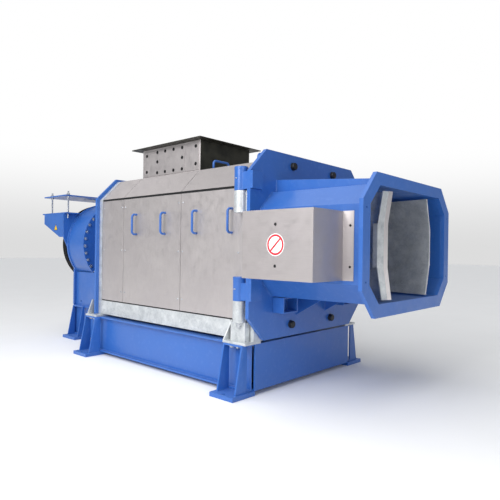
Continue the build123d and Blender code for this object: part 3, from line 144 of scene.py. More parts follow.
def stainless(name, stretch, light, dark, smooth, coarse):
    """Ground stainless steel: a soft grey metal whose grain runs one way, with faint hand marks.

    The real grain is about 0.1 mm apart; it is drawn at 3 mm so that it shows. Soft clouds are
    about 420 mm across and hand marks 90 mm."""
    made, tree, shader, coords = surface(name, {"Metallic": 0.8, "Anisotropic": 0.35})
    along = add(tree, "ShaderNodeMapping", {"Vector": coords, "Scale": [1 / s for s in stretch]})
    grain = add(tree, "ShaderNodeTexNoise", {"Vector": along, "Scale": 330.0, "Detail": 2.0})
    cloud = add(tree, "ShaderNodeTexNoise", {"Vector": coords, "Scale": 2.4, "Detail": 3.0})
    marks = add(tree, "ShaderNodeTexNoise", {"Vector": coords, "Scale": 11.0, "Detail": 5.0})
    tint = {FACTOR: grain, A: linear(dark), B: linear(light)}
    colour = add(tree, "ShaderNodeMix", tint, data_type="RGBA").outputs[2]
    reach = {VALUE: cloud, FROM_MIN: 0.35, FROM_MAX: 0.7, TO_MAX: 0.3}
    patches = add(tree, "ShaderNodeMapRange", reach)
    tint = {FACTOR: patches, A: colour, B: linear("B6AFB1")}
    colour = add(tree, "ShaderNodeMix", tint, data_type="RGBA").outputs[2]
    reach = {VALUE: marks, FROM_MIN: 0.5, FROM_MAX: 0.8, TO_MAX: 0.14}
    prints = add(tree, "ShaderNodeMapRange", reach)
    tint = {FACTOR: prints, A: colour, B: linear("9F989C")}
    colour = add(tree, "ShaderNodeMix", tint, data_type="RGBA").outputs[2]
    both = add(tree, "ShaderNodeMath", {0: grain, 1: marks}, operation="ADD")
    reach = {VALUE: both, FROM_MIN: 0.7, FROM_MAX: 1.3, TO_MIN: smooth, TO_MAX: coarse}
    rough = add(tree, "ShaderNodeMapRange", reach)
    finish(tree, shader, colour, rough, grain, 0.02)
    return made


def galvanised_steel():
    """Hot-dip galvanised plate: pale zinc with crystal patches of slightly different grey.

    Real spangle is 5 to 20 mm across: the fine patches are 17 mm, and the larger ones are drawn
    at 60 mm so that they show. Clouds are about 125 mm across."""
    made, tree, shader, coords = surface("galvanised_steel", {"Metallic": 0.6})
    cloud = add(tree, "ShaderNodeTexNoise", {"Vector": coords, "Scale": 8.0, "Detail": 5.0})
    broad = add(tree, "ShaderNodeTexVoronoi", {"Vector": coords, "Scale": 16.0}).outputs["Color"]
    fine = add(tree, "ShaderNodeTexVoronoi", {"Vector": coords, "Scale": 60.0}).outputs["Color"]
    broad = add(tree, "ShaderNodeSeparateXYZ", {0: broad})
    fine = add(tree, "ShaderNodeSeparateXYZ", {0: fine})
    clouded = add(tree, "ShaderNodeMapRange", {VALUE: cloud, FROM_MIN: 0.3, FROM_MAX: 0.7})
    tint = {FACTOR: clouded, A: linear("B7BCBF"), B: linear("E4E7E8")}
    colour = add(tree, "ShaderNodeMix", tint, data_type="RGBA").outputs[2]
    darker = add(tree, "ShaderNodeMapRange", {VALUE: broad, TO_MAX: 0.35})
    tint = {FACTOR: darker, A: colour, B: linear("A8AEB2")}
    colour = add(tree, "ShaderNodeMix", tint, data_type="RGBA").outputs[2]
    paler = add(tree, "ShaderNodeMapRange", {VALUE: fine, TO_MAX: 0.25})
    tint = {FACTOR: paler, A: colour, B: linear("EEF0F0")}
    colour = add(tree, "ShaderNodeMix", tint, data_type="RGBA").outputs[2]
    rough = add(tree, "ShaderNodeMapRange", {VALUE: broad, TO_MIN: 0.38, TO_MAX: 0.58})
    finish(tree, shader, colour, rough, cloud, 0.25)
    return made


def plain_finish(name, values, grain_mm, dark, light, smooth, coarse, depth_mm=0.0):
    """A material of one colour whose skin varies a little at grain_mm."""
    made, tree, shader, coords = surface(name, values)
    scale = 1000 / grain_mm
    grain = add(tree, "ShaderNodeTexNoise", {"Vector": coords, "Scale": scale, "Detail": 4.0})
    share = add(tree, "ShaderNodeMapRange", {VALUE: grain, FROM_MIN: 0.3, FROM_MAX: 0.7})
    tint = {FACTOR: share, A: linear(dark), B: linear(light)}
    colour = add(tree, "ShaderNodeMix", tint, data_type="RGBA").outputs[2]
    reach = {VALUE: grain, FROM_MIN: 0.3, FROM_MAX: 0.7, TO_MIN: smooth, TO_MAX: coarse}
    rough = add(tree, "ShaderNodeMapRange", reach)
    finish(tree, shader, colour, rough, grain if depth_mm else None, depth_mm)
    return made


ENAMEL = blue_enamel()
# Sheets ground up and down the wall, and along the length on the roof.
STAINLESS = stainless("ground_stainless_walls", (1, 1, 40), "D4CECC", "BEB8B7", 0.36, 0.52)
STAINLESS_FLAT = stainless("ground_stainless_roof", (40, 1, 1), "C6C0BF", "B2ACAB", 0.38, 0.54)
# Screens and screw: pressed and scoured by what passes, so darker and more uneven.
STAINLESS_WORN = stainless("scoured_stainless", (1, 30, 1), "C4C2C0", "9E9C9A", 0.28, 0.5)
# Edges that the pressed material slides over, rubbed bright along their height.
STAINLESS_EDGE = stainless("rubbed_stainless_edge", (1, 1, 30), "F2EDEC", "DAD4D3", 0.3, 0.42)
ZINC_COAT = galvanised_steel()
# Electroplated fasteners and ground rods: a smooth, slightly bluish metal with faint stains.
BRIGHT = plain_finish("zinc_plated_steel", {"Metallic": 0.95}, 25, "AEB2B8", "D2D5D8", 0.2, 0.38)
# Moulded polyethylene caps: soft black with a satin, finely eroded skin.
CAP_BLACK = plain_finish("moulded_polyethylene", {"IOR": 1.51}, 3, "0B0B0D", "1B1B1E", 0.35, 0.55, 0.05)
# Cast iron and oil-blackened bolts: nearly black, dry and slightly grainy.
IRON = plain_finish("oil_blackened_steel", {"Metallic": 0.45}, 12, "141517", "2A2B2E", 0.38, 0.6, 0.1)
# Very dark, faintly olive plate with a dull uneven sheen: painted shade for chute faces that stand in
# shadow.
PAINTED_SHADE_PLATE = plain_finish("mill_scale_plate", {"Metallic": 0.3}, 130, "21211B", "3D3C33", 0.34, 0.58, 0.3)
# Printed self-adhesive vinyl: a flat satin colour that has faded a little in patches.
RED_FILM = plain_finish("red_vinyl_film", {"IOR": 1.53}, 60, "C01F30", "D6283A", 0.3, 0.42)
WHITE_FILM = plain_finish("white_vinyl_film", {"IOR": 1.53}, 60, "E9E9E6", "F6F6F4", 0.3, 0.42)
YELLOW_FILM = plain_finish("yellow_vinyl_film", {"IOR": 1.53}, 60, "E9B914", "F6C91E", 0.3, 0.42)
# Seamless studio floor, painted matt and nearly white.
FLOOR_PAINT = plain_finish("matt_floor_paint", {"IOR": 1.5}, 900, "F7F7F7", "F9F9F9", 0.85, 0.9)
FINISH = {
    "blue_paint": ENAMEL,
    "stainless": STAINLESS,
    "galvanised": ZINC_COAT,
    "zinc_steel": BRIGHT,
    "black_plastic": CAP_BLACK,
    "dark_steel": IRON,
}


# ---- making pieces
def settle(obj, body, material=None, angle=32):
    """Give a made piece its finish, smooth its round faces and let it ride on its body."""
    mesh = obj.data
    if material is not None:
        mesh.materials.clear()
        mesh.materials.append(material)
    if not mesh.has_custom_normals:
        mesh.polygons.foreach_set("use_smooth", [True] * len(mesh.polygons))
        mesh.set_sharp_from_angle(angle=math.radians(angle))
    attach(obj, body)
    return obj


def link(name, mesh):
    obj = bpy.data.objects.new(name, mesh)
    bpy.context.scene.collection.objects.link(obj)
    return obj


def from_bmesh(name, bm):
    mesh = bpy.data.meshes.new(name)
    bm.to_mesh(mesh)
    bm.free()
    return link(name, mesh)


def bake_modifiers(obj):
    """Replace an object's mesh by what its modifiers make of it."""
    made = bpy.data.meshes.new_from_object(obj.evaluated_get(bpy.context.evaluated_depsgraph_get()))
    old = obj.data
    obj.modifiers.clear()
    obj.data = made
    bpy.data.meshes.remove(old)
    return obj


def bevelled(obj, width_mm, segments=2, angle=38):
    """Ease the edges and keep the flat faces flat to the eye."""
    obj.data.polygons.foreach_set("use_smooth", [True] * len(obj.data.polygons))
    obj.data.set_sharp_from_angle(angle=math.radians(angle))
    made = obj.modifiers.new("edge", "BEVEL")
    made.harden_normals = True
    made.width = width_mm * MM
    made.segments = segments
    made.limit_method = "ANGLE"
    made.angle_limit = math.radians(angle)
    made.use_clamp_overlap = True
    return bake_modifiers(obj)


def merged_copy(node):
    """A CAD node's mesh with its loose triangles joined and its flat faces whole."""
    bm = bmesh.new()
    bm.from_mesh(NODES[node].data)
    bmesh.ops.remove_doubles(bm, verts=bm.verts, dist=MERGE_MM * MM)
    bmesh.ops.dissolve_limit(bm, angle_limit=math.radians(0.6), verts=bm.verts, edges=bm.edges)
    return bm


def dressed(node, edge_mm, material=None, name=None):
    """The node's shape with its edges eased by edge_mm, standing for the node."""
    obj = from_bmesh(name or node + "_finished", merged_copy(node))
    if edge_mm:
        bevelled(obj, edge_mm)
    slot = SLOT_OF[node]
    settle(obj, BODY_OF[node], material or FINISH[slot])
    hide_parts(node)
    return obj


def islands(node):
    """Lowest and highest corner of each separate solid in a node, in a fixed order."""
    bm = bmesh.new()
    bm.from_mesh(NODES[node].data)
    bmesh.ops.remove_doubles(bm, verts=bm.verts, dist=MERGE_MM * MM)
    seen = set()
    found = []
    for start in bm.verts:
        if start in seen:
            continue
        group = [start]
        seen.add(start)
        for vert in group:
            for edge in vert.link_edges:
                other = edge.other_vert(vert)
                if other not in seen:
                    seen.add(other)
                    group.append(other)
        lo = Vector([min(v.co[i] for v in group) for i in range(3)])
        hi = Vector([max(v.co[i] for v in group) for i in range(3)])
        found.append((lo, hi))
    bm.free()
    return sorted(found, key=lambda pair: tuple(round(c, 4) for c in pair[0]))


def turned(name, profile, axis, origin, steps=64):
    """Lathe a (radius, along) profile, in millimetres, about an axis through origin."""
    bm = bmesh.new()
    turn = Vector((0, 0, 1)).rotation_difference(Vector(axis)).to_matrix()
    rings = []
    for n in range(steps):
        angle = 2 * math.pi * n / steps
        ring = []
        for radius, along in profile:
            point = Vector((radius * math.cos(angle), radius * math.sin(angle), along)) * MM
            ring.append(bm.verts.new(Vector(origin) + turn @ point))
        rings.append(ring)
    for n in range(steps):
        a, b = rings[n], rings[(n + 1) % steps]
        for i in range(len(profile) - 1):
            bm.faces.new((a[i], b[i], b[i + 1], a[i + 1]))
    bmesh.ops.remove_doubles(bm, verts=bm.verts, dist=0.01 * MM)
    bmesh.ops.recalc_face_normals(bm, faces=bm.faces)
    return from_bmesh(name, bm)


def join(name, objects):
    """One mesh of several; the parts are removed."""
    bm = bmesh.new()
    for obj in objects:
        bm.from_mesh(obj.data)
        bpy.data.objects.remove(obj)
    return from_bmesh(name, bm)


# ---- repeated pieces: one tree sets a small solid on every point
def placed_tree(name, pattern):
    """Geometry tree that puts the pattern's mesh on each point and makes the result real."""
    tree = bpy.data.node_groups.new(name, "GeometryNodeTree")
    sockets = tree.interface
    sockets.new_socket("Geometry", in_out="INPUT", socket_type="NodeSocketGeometry")
    sockets.new_socket("Size", in_out="INPUT", socket_type="NodeSocketFloat").default_value = 1.0
    sockets.new_socket("Turn", in_out="INPUT", socket_type="NodeSocketVector")
    sockets.new_socket("Geometry", in_out="OUTPUT", socket_type="NodeSocketGeometry")
    inputs = tree.nodes.new("NodeGroupInput").outputs
    info = add(tree, "GeometryNodeObjectInfo", {"Object": pattern})
    points = add(tree, "GeometryNodeMeshToPoints", {"Mesh": inputs["Geometry"]})
    values = {
        "Points": points, "Instance": info.outputs["Geometry"],
        "Rotation": inputs["Turn"], "Scale": inputs["Size"],
    }
    placed = add(tree, "GeometryNodeInstanceOnPoints", values)
    real = add(tree, "GeometryNodeRealizeInstances", {0: placed})
    values = {"Geometry": real, "Material": pattern.data.materials[0]}
    coated = add(tree, "GeometryNodeSetMaterial", values)
    add(tree, "NodeGroupOutput", {0: coated})
    return tree


def set_on(name, pattern, points, turn, body, replaces=()):
    """Put a copy of the pattern, which stands along +Z, on every point, turned by an Euler angle."""
    mesh = bpy.data.meshes.new(name)
    mesh.from_pydata([tuple(p) for p in points], [], [])
    obj = link(name, mesh)
    made = obj.modifiers.new("placed", "NODES")
    made.node_group = placed_tree(name + "_tree", pattern)
    made[socket_of(made.node_group, "Turn")] = turn
    bake_modifiers(obj)
    settle(obj, body)
    if replaces:
        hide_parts(*replaces)
    return obj


def socket_of(tree, name):
    """Identifier of a tree's named input."""
    return {s.name: s.identifier for s in tree.interface.items_tree if s.in_out == "INPUT"}[name]


def as_pattern(obj, material):
    """Hide a small solid that is only the pattern for others, until they are all placed."""
    obj.data.materials.append(material)
    obj.hide_render = True
    obj.hide_viewport = True
    PATTERNS.append(obj)
    return obj


PATTERNS = []
TO_LEFT = (math.pi / 2, 0, 0)
TO_RIGHT = (-math.pi / 2, 0, 0)
TO_FRONT = (0, math.pi / 2, 0)
TO_REAR = (0, -math.pi / 2, 0)


def hex_bolt(name, flats_mm, head_mm, washer_mm, material):
    """Hexagon head with its chamfered top, on its washer, standing on Z = 0."""
    bm = bmesh.new()
    layers = []
    corner = flats_mm / math.sqrt(3)
    base = washer_mm
    for share, z in ((1.0, base), (1.0, base + head_mm * 0.82), (0.86, base + head_mm)):
        radius = corner * share
        ring = []
        for n in range(6):
            angle = math.radians(60 * n)
            place = Vector((radius * math.cos(angle), radius * math.sin(angle), z)) * MM
            ring.append(bm.verts.new(place))
        layers.append(ring)
    for a, b in zip(layers, layers[1:]):
        for n in range(6):
            m = (n + 1) % 6
            bm.faces.new((a[n], a[m], b[m], b[n]))
    bm.faces.new(layers[-1])
    bm.faces.new(layers[0][::-1])
    head = from_bmesh(name + "_head", bm)
    rim, ease, top = flats_mm * 0.98, 0.6, washer_mm
    disc = [(0, 0), (rim - ease, 0), (rim, ease), (rim, top - ease), (rim - ease, top), (0, top)]
    washer = turned(name + "_washer", disc, (0, 0, 1), (0, 0, 0), 24)
    return as_pattern(join(name, [head, washer]), material)


def button_screw(name, radius_mm, head_mm, material):
    """Button head with a round socket, standing on Z = 0."""
    r, h = radius_mm, head_mm
    socket = r * 0.42
    floor = h * 0.35
    profile = [(0, 0), (r, 0), (r, h * 0.25), (r * 0.93, h * 0.6), (r * 0.72, h * 0.9)]
    profile += [(r * 0.5, h), (socket, h), (socket, floor), (0, floor)]
    return as_pattern(turned(name, profile, (0, 0, 1), (0, 0, 0), 18), material)


def section(node, x, tolerance_mm=0.6):
    """Convex outline, as (y, z) corners in order, of a node's corners that lie on the plane at x."""
    flat = sorted({
        (round(v.co.y, 4), round(v.co.z, 4))
        for v in NODES[node].data.vertices
        if abs(v.co.x - x) < tolerance_mm * MM
    })

    def half(points):
        chain = []
        for p in points:
            while len(chain) > 1:
                (ax, ay), (bx, by) = chain[-2], chain[-1]
                if (bx - ax) * (p[1] - ay) - (by - ay) * (p[0] - ax) > 1e-7:
                    break
                chain.pop()
            chain.append(p)
        return chain[:-1]

    return half(flat) + half(flat[::-1])


# ---- weld beads: one tree draws a rippled bead along a path
def bead_tree():
    tree = bpy.data.node_groups.new("weld_bead_tree", "GeometryNodeTree")
    sockets = tree.interface
    sockets.new_socket("Geometry", in_out="INPUT", socket_type="NodeSocketGeometry")
    for name, value in (("Leg", 0.009), ("Ripple spacing", 0.006), ("Ripple", 0.12)):
        made = sockets.new_socket(name, in_out="INPUT", socket_type="NodeSocketFloat")
        made.default_value = value
    sockets.new_socket("Geometry", in_out="OUTPUT", socket_type="NodeSocketGeometry")
    inputs = tree.nodes.new("NodeGroupInput").outputs
    curve = add(tree, "GeometryNodeMeshToCurve", {"Mesh": inputs["Geometry"]})
    values = {"Curve": curve, "Length": inputs["Ripple spacing"]}
    even = add(tree, "GeometryNodeResampleCurve", values, mode="LENGTH")
    # About three points to a ripple.
    index = add(tree, "GeometryNodeInputIndex")
    phase = add(tree, "ShaderNodeMath", {0: index, 1: 2.1}, operation="MULTIPLY")
    wave = add(tree, "ShaderNodeMath", {0: phase}, operation="SINE")
    values = {0: wave, 1: inputs["Ripple"], 2: 1.0}
    swell = add(tree, "ShaderNodeMath", values, operation="MULTIPLY_ADD")
    radius = add(tree, "ShaderNodeMath", {0: swell, 1: inputs["Leg"]}, operation="MULTIPLY")
    ring = add(tree, "GeometryNodeCurvePrimitiveCircle", {"Resolution": 6, "Radius": 1.0})
    values = {"Curve": even, "Profile Curve": ring, "Scale": radius, "Fill Caps": True}
    tube = add(tree, "GeometryNodeCurveToMesh", values)
    real = add(tree, "GeometryNodeRealizeInstances", {0: tube})
    coated = add(tree, "GeometryNodeSetMaterial", {"Geometry": real, "Material": ENAMEL})
    add(tree, "NodeGroupOutput", {0: coated})
    return tree


def weld_beads(name, paths, body, leg_mm=8.0):
    """Rippled beads along straight-edged paths; a path whose first point is repeated is closed."""
    points = []
    edges = []
    for path in paths:
        start = len(points)
        closed = path[0] == path[-1]
        points += path[:-1] if closed else path
        count = len(points) - start
        edges += [(start + n, start + n + 1) for n in range(count - 1)]
        if closed:
            edges.append((start + count - 1, start))
    mesh = bpy.data.meshes.new(name)
    mesh.from_pydata([tuple(p) for p in points], edges, [])
    obj = link(name, mesh)
    made = obj.modifiers.new("bead", "NODES")
    made.node_group = BEADS
    made[socket_of(BEADS, "Leg")] = leg_mm * MM
    bake_modifiers(obj)
    return settle(obj, body, angle=80)


BEADS = bead_tree()


# ---- shapes carried over from the design, with their edges eased
def sheet_metal():
    for node in ("fixed_side_panels", "left_covers", "right_covers"):
        dressed(node, 1.2, STAINLESS)
    dressed("chamfer_covers", 1.2, STAINLESS_FLAT)
    dressed("roof_cover", 1.2, STAINLESS_FLAT)
    dressed("chute_plates", 1.5, STAINLESS)
    dressed("cylinder_guards", 1.0, STAINLESS_FLAT)
    chute = dressed("inlet_chute", 1.2, STAINLESS)
    chute.data.materials.append(PAINTED_SHADE_PLATE)
    # The flange and the two end plates are drawn very dark: painted shade where they stand in shadow.
    flange_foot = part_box("inlet_chute")[1].z - 13 * MM
    for face in chute.data.polygons:
        if face.center.z > flange_foot or abs(face.normal.x) > 0.8:
            face.material_index = 1


def painted_steel():
    edges = {
        "base_side_beams": 3, "base_cross_beams": 3, "base_feet": 2.5, "rear_bulkhead": 4,
        "lantern_housing": 2, "gear_drum": 4, "drive_console": 2, "console_plate": 2,
        "pedestal": 2.5, "front_plate": 5, "discharge_tunnel": 2, "discharge_flange": 4,
        "tunnel_stiffeners": 2.5, "hinge_knuckles": 3, "motor_plate": 2, "cover_handles": 0,
        "jaw_brackets": 2, "jaw_cylinders": 3,
    }
    for node, edge in edges.items():
        dressed(node, edge)


def galvanised_pieces():
    edges = {
        "bulkhead_feet": 2, "front_bulkhead": 2, "rear_seal_frame": 2, "filtrate_trough": 1.5,
        "drain_pipe": 1.5, "hinge_posts": 3, "left_jaw": 1.5, "right_jaw": 1.5,
    }
    for node, edge in edges.items():
        dressed(node, edge)
    # The galvanised cover rails are drawn black: painted shade for the dark gap above the side panels.
    dressed("cover_rails", 1.5, CAP_BLACK)


def bare_metal():
    dressed("plate_nuts", 1.0)
    dressed("belt_pulley", 1.5)
    dressed("press_screw", 2.0, STAINLESS_WORN)
    rods = ("tie_rods", "jaw_pins", "left_push_rod", "right_push_rod", "drive_shaft", "hinge_pins")
    for node in rods:
        dressed(node, 1.5)


def inner_nodes():
    """Nodes that keep their own mesh: gears, screens and what is closed in."""
    scoured = ("upper_screen", "lower_screen", "screen_rings")
    for node, slot in SLOT_OF.items():
        materials = NODES[node].data.materials
        materials.clear()
        materials.append(STAINLESS_WORN if node in scoured else FINISH[slot])


# ---- fasteners
def centre_of(pair):
    return (pair[0] + pair[1]) / 2


def cover_screws():
    head = button_screw("cover_screw_pattern", 11, 6, BRIGHT)
    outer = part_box("left_covers")[0].y
    pairs = islands("cover_screws")
    for side, turn, label in ((-1, TO_LEFT, "left"), (1, TO_RIGHT, "right")):
        middles = [centre_of(pair) for pair in pairs if side * pair[0].y > 0]
        points = [(m.x, -side * outer, m.z) for m in middles]
        set_on(label + "_cover_screws", head, points, turn, "press_base", ["cover_screws"])


def chute_bolts():
    bolt = hex_bolt("chute_bolt_pattern", 24, 9, 3, IRON)
    points = [(centre_of(p).x, p[1].y, centre_of(p).z) for p in islands("chute_bolts")]
    set_on("chute_hex_bolts", bolt, points, TO_LEFT, "press_base", ["chute_bolts"])


def guard_screws():
    plug = button_screw("guard_plug_pattern", 15, 5, CAP_BLACK)
    screw = button_screw("guard_screw_pattern", 12, 5, CAP_BLACK)
    guard_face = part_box("cylinder_guards")[1].y
    for side, turn, label in ((-1, TO_LEFT, "left"), (1, TO_RIGHT, "right")):
        points = {"plugs": [], "screws": []}
        for lo, hi in islands("guard_screws"):
            middle = centre_of((lo, hi))
            if side * middle.y > 0:
                inner = min(abs(lo.y), abs(hi.y))
                kind = "plugs" if abs(inner - guard_face) < 2 * MM else "screws"
                points[kind].append((middle.x, side * inner, middle.z))
        body, slot = "discharge_housing", "black_plastic"
        for kind, pattern in (("plugs", plug), ("screws", screw)):
            name = f"{label}_guard_{kind}"
            set_on(name, pattern, points[kind], turn, body, ["guard_screws"])


def closing_caps():
    """Caps on the closing bolts, with a rim at the plate and a shallow dish at the end."""
    pairs = islands("closing_caps")
    lo, hi = pairs[0]
    r = (hi.y - lo.y) / 2 / MM
    end = (hi.x - lo.x) / MM
    profile = [(0, 0), (r, 0), (r, 4), (r - 3, 6), (r - 3, end - 12), (r - 5, end - 5)]
    profile += [(r - 10, end - 1), (r - 16, end), (r - 18, end - 2), (0, end - 2)]
    cap = as_pattern(turned("cap_pattern", profile, (0, 0, 1), (0, 0, 0), 48), CAP_BLACK)
    points = [(pair[0].x, centre_of(pair).y, centre_of(pair).z) for pair in pairs]
    name = "closing_bolt_caps"
    set_on(name, cap, points, TO_FRONT, "discharge_housing", ["closing_caps"])


def ring_points(x, y, z, radius, count, start=0.0):
    steps = [start + 2 * math.pi * n / count for n in range(count)]
    return [(x, y + radius * math.cos(a), z + radius * math.sin(a)) for a in steps]


def gear_unit_details():
    """Flanges on the lantern, and bolt circles where it and the drum are bolted together."""
    lo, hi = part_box("lantern_housing")
    axis = (lo + hi) / 2
    outer = (hi.y - lo.y) / 2 / MM
    rim, thick, ease = outer + 62, 30, 3
    profile = [(outer - 2, 0), (rim - ease, 0), (rim, ease), (rim, thick - ease), (rim - ease, thick)]
    profile += [(outer - 2, thick), (outer - 2, 0)]
    front_face, rear_face = lo.x + thick * MM, hi.x - thick * MM
    parts = []
    for x in (lo.x, rear_face):
        parts.append(turned("flange_part", profile, (1, 0, 0), (x, axis.y, axis.z), 96))
    settle(join("lantern_flanges", parts), "press_base", ENAMEL)

    bolt = hex_bolt("gear_bolt_pattern", 30, 15, 4, BRIGHT)
    lantern = (outer + 34) * MM
    lo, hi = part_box("gear_drum")
    drum = (hi.y - lo.y) / 2 - 38 * MM
    for name, x, radius, count, start, turn in (
        ("lantern_front_bolts", front_face, lantern, 24, 0.0, TO_FRONT),
        ("lantern_rear_bolts", rear_face, lantern, 24, 0.0, TO_REAR),
        ("gear_drum_bolts", hi.x, drum, 36, 0.05, TO_FRONT),
    ):
        points = ring_points(x, axis.y, axis.z, radius, count, start)
        set_on(name, bolt, points, turn, "press_base")


def foot_bolts():
    """Hexagon bolts that come up from below through the short top plate of each foot."""
    bolt = hex_bolt("foot_bolt_pattern", 36, 18, 5, BRIGHT)
    lo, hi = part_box("base_feet")
    under = hi.z - 20 * MM
    half_spacing, inset = 45 * MM, 205 * MM
    points = []
    for x in (lo.x + FOOT_LENGTH / 2, hi.x - FOOT_LENGTH / 2):
        for y in (lo.y + inset, hi.y - inset):
            points += [(x - half_spacing, y, under), (x + half_spacing, y, under)]
    set_on("foot_top_bolts", bolt, points, (math.pi, 0, 0), "press_base")


def guard_screw_nuts():
    """Nuts inside the tunnel wall on the screws of the guards' front lips."""
    nut = hex_bolt("guard_nut_pattern", 24, 14, 3, BRIGHT)
    tunnel_inside = 880.4 * MM
    pairs = islands("guard_screws")
    front_lip = max(pair[0].x for pair in pairs) - 50 * MM
    for side, turn, label in ((-1, TO_RIGHT, "left"), (1, TO_LEFT, "right")):
        chosen = [pair for pair in pairs if side * pair[0].y > 0 and pair[0].x > front_lip]
        points = [(centre_of(p).x, side * tunnel_inside, centre_of(p).z) for p in chosen]
        name = label + "_guard_screw_nuts"
        set_on(name, nut, points, turn, "discharge_housing")


def threaded_rods():
    """Rods with a real helical thread. The pitch is drawn at 6 mm."""
    pitch, thread_depth, around, steps_per_turn = 6.0, 2.2, 20, 4
    for number, (lo, hi) in enumerate(islands("threaded_rods")):
        radius = (hi.x - lo.x) / 2 / MM
        length = (hi.z - lo.z) / MM
        middle = (lo + hi) / 2
        steps = int(length / pitch * steps_per_turn)
        bm = bmesh.new()
        rings = []
        for n in range(steps + 1):
            z = length * n / steps
            ring = []
            for k in range(around):
                share = (z / pitch - k / around) % 1.0
                r = (radius - thread_depth * abs(2 * share - 1)) * MM
                angle = 2 * math.pi * k / around
                x = middle.x + r * math.cos(angle)
                y = middle.y + r * math.sin(angle)
                ring.append(bm.verts.new((x, y, lo.z + z * MM)))
            rings.append(ring)
        for a, b in zip(rings, rings[1:]):
            for k in range(around):
                m = (k + 1) % around
                bm.faces.new((a[k], a[m], b[m], b[k]))
        bm.faces.new(rings[-1])
        bm.faces.new(rings[0][::-1])
        rod = from_bmesh(f"threaded_rod_{number + 1}", bm)
        settle(rod, "press_base", BRIGHT, 60)
        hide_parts("threaded_rods")


def jaw_edge_strips():
    """Flat bars welded on the lips of the jaws, ground bright by the pressed material."""
    width, thick, seat = 54 * MM, 4 * MM, 8 * MM
    lean = 40 / 107
    low_bend, high_bend = 313 * MM, 723 * MM
    at_ends, at_bends = 0.400, 0.490
    for side, node in ((-1, "left_jaw"), (1, "right_jaw")):
        lo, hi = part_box(node)
        outline = (
            (at_ends, lo.z), (at_bends, lo.z + low_bend), (at_bends, lo.z + high_bend), (at_ends, hi.z),
        )
        bm = bmesh.new()
        rings = []
        for y, z in outline:
            ring = []
            for across, out in ((seat, 0.0), (width, 0.0), (width, thick), (seat, thick)):
                x = hi.x - (across - seat) * lean + out
                ring.append(bm.verts.new((x, side * (y + across), z)))
            rings.append(ring)
        for a, b in zip(rings, rings[1:]):
            for k in range(4):
                m = (k + 1) % 4
                bm.faces.new((a[k], a[m], b[m], b[k]))
        bm.faces.new(rings[0])
        bm.faces.new(rings[-1])
        bmesh.ops.recalc_face_normals(bm, faces=bm.faces)
        strip = bevelled(from_bmesh(node + "_edge_strip", bm), 1.0)
        settle(strip, node, STAINLESS_EDGE)


# ---- hinge, welds and signs
def barrels():
    """The round knuckles of the hinge, each as its lowest and highest corner."""
    return [pair for pair in islands("hinge_knuckles") if pair[1].x - pair[0].x > 100 * MM]


def hinge_caps():
    """A turned cap over the top of each knuckle, proud of it all round."""
    lo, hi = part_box("hinge_pins")
    axis = (lo + hi) / 2
    r = BARREL_RADIUS_MM
    proud = 1.6
    caps = []
    for low, high in barrels():
        top = high.z / MM
        profile = [(0, top - 34), (r - 6, top - 34), (r + proud, top - 30), (r + proud, top - 4)]
        profile += [(r - 3, top + 1.2), (0, top + 1.2)]
        caps.append(turned("cap_part", profile, (0, 0, 1), (axis.x, axis.y, 0), 56))
    settle(join("hinge_barrel_caps", caps), "discharge_housing", ENAMEL)


def grease_nipples():
    profile = [(0, 0), (7, 0), (7, 5), (4, 7), (4, 12), (5.5, 14), (5.5, 17), (3, 20), (0, 20)]
    nipple = as_pattern(turned("nipple_pattern", profile, (0, 0, 1), (0, 0, 0), 16), BRIGHT)
    lo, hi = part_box("hinge_pins")
    axis = (lo + hi) / 2
    y = axis.y - BARREL_RADIUS_MM * MM
    points = [(axis.x, y, (low.z + high.z) / 2) for low, high in barrels()]
    set_on("hinge_grease_nipples", nipple, points, TO_LEFT, "discharge_housing")


def housing_welds():
    """Beads round both ends of the tunnel, and along the ribs and gussets."""
    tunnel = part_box("discharge_tunnel")
    paths = []
    for x in (tunnel[0].x, tunnel[1].x):
        outline = [Vector((x, y, z)) for y, z in section("discharge_tunnel", x)]
        paths.append(outline + [outline[0]])
    for lo, hi in islands("tunnel_stiffeners"):
        if hi.y - lo.y > 50 * MM:
            continue
        on_top = lo.z > 2
        near, far = (hi.z, lo.z) if on_top else (lo.z, hi.z)
        for y in (lo.y, hi.y):
            paths.append([Vector((lo.x, y, near)), Vector((lo.x, y, far)), Vector((hi.x, y, far))])
    weld_beads("housing_weld_beads", paths, "discharge_housing", 8)


def base_welds():
    """Beads on both sides of the gussets that stand on the foot plates."""
    lo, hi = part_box("base_feet")
    plate_top, inset, thick = 46 * MM, 30 * MM, 20 * MM
    starts, ends = 70 * MM, 240 * MM
    paths = []
    for foot in (lo.x, hi.x - FOOT_LENGTH):
        for gusset in (foot + inset, foot + FOOT_LENGTH - inset - thick):
            for x in (gusset, gusset + thick):
                for y, out in ((lo.y, 1), (hi.y, -1)):
                    outer = Vector((x, y + out * starts, plate_top))
                    paths.append([outer, Vector((x, y + out * ends, plate_top))])
    weld_beads("foot_weld_beads", paths, "press_base", 6)


def flat_shape(name, outline, y, side, material, body, hole=(), thick_mm=FILM_MM):
    """Film in the XZ plane at y, facing out of the machine's side. A hole has the outline's count."""
    bm = bmesh.new()
    verts = [bm.verts.new((x, y, z)) for x, z in outline]
    if hole:
        inner = [bm.verts.new((x, y, z)) for x, z in hole]
        count = len(verts)
        for n in range(count):
            m = (n + 1) % count
            bm.faces.new((verts[n], verts[m], inner[m], inner[n]))
    else:
        bm.faces.new(verts)
    made = bmesh.ops.extrude_face_region(bm, geom=list(bm.faces))
    moved = [v for v in made["geom"] if isinstance(v, bmesh.types.BMVert)]
    bmesh.ops.translate(bm, verts=moved, vec=(0, side * thick_mm * MM, 0))
    bmesh.ops.recalc_face_normals(bm, faces=bm.faces)
    return settle(from_bmesh(name, bm), body, material)


def round_points(x, z, radius, count=64):
    steps = [2 * math.pi * n / count for n in range(count)]
    return [(x + radius * math.cos(a), z + radius * math.sin(a)) for a in steps]


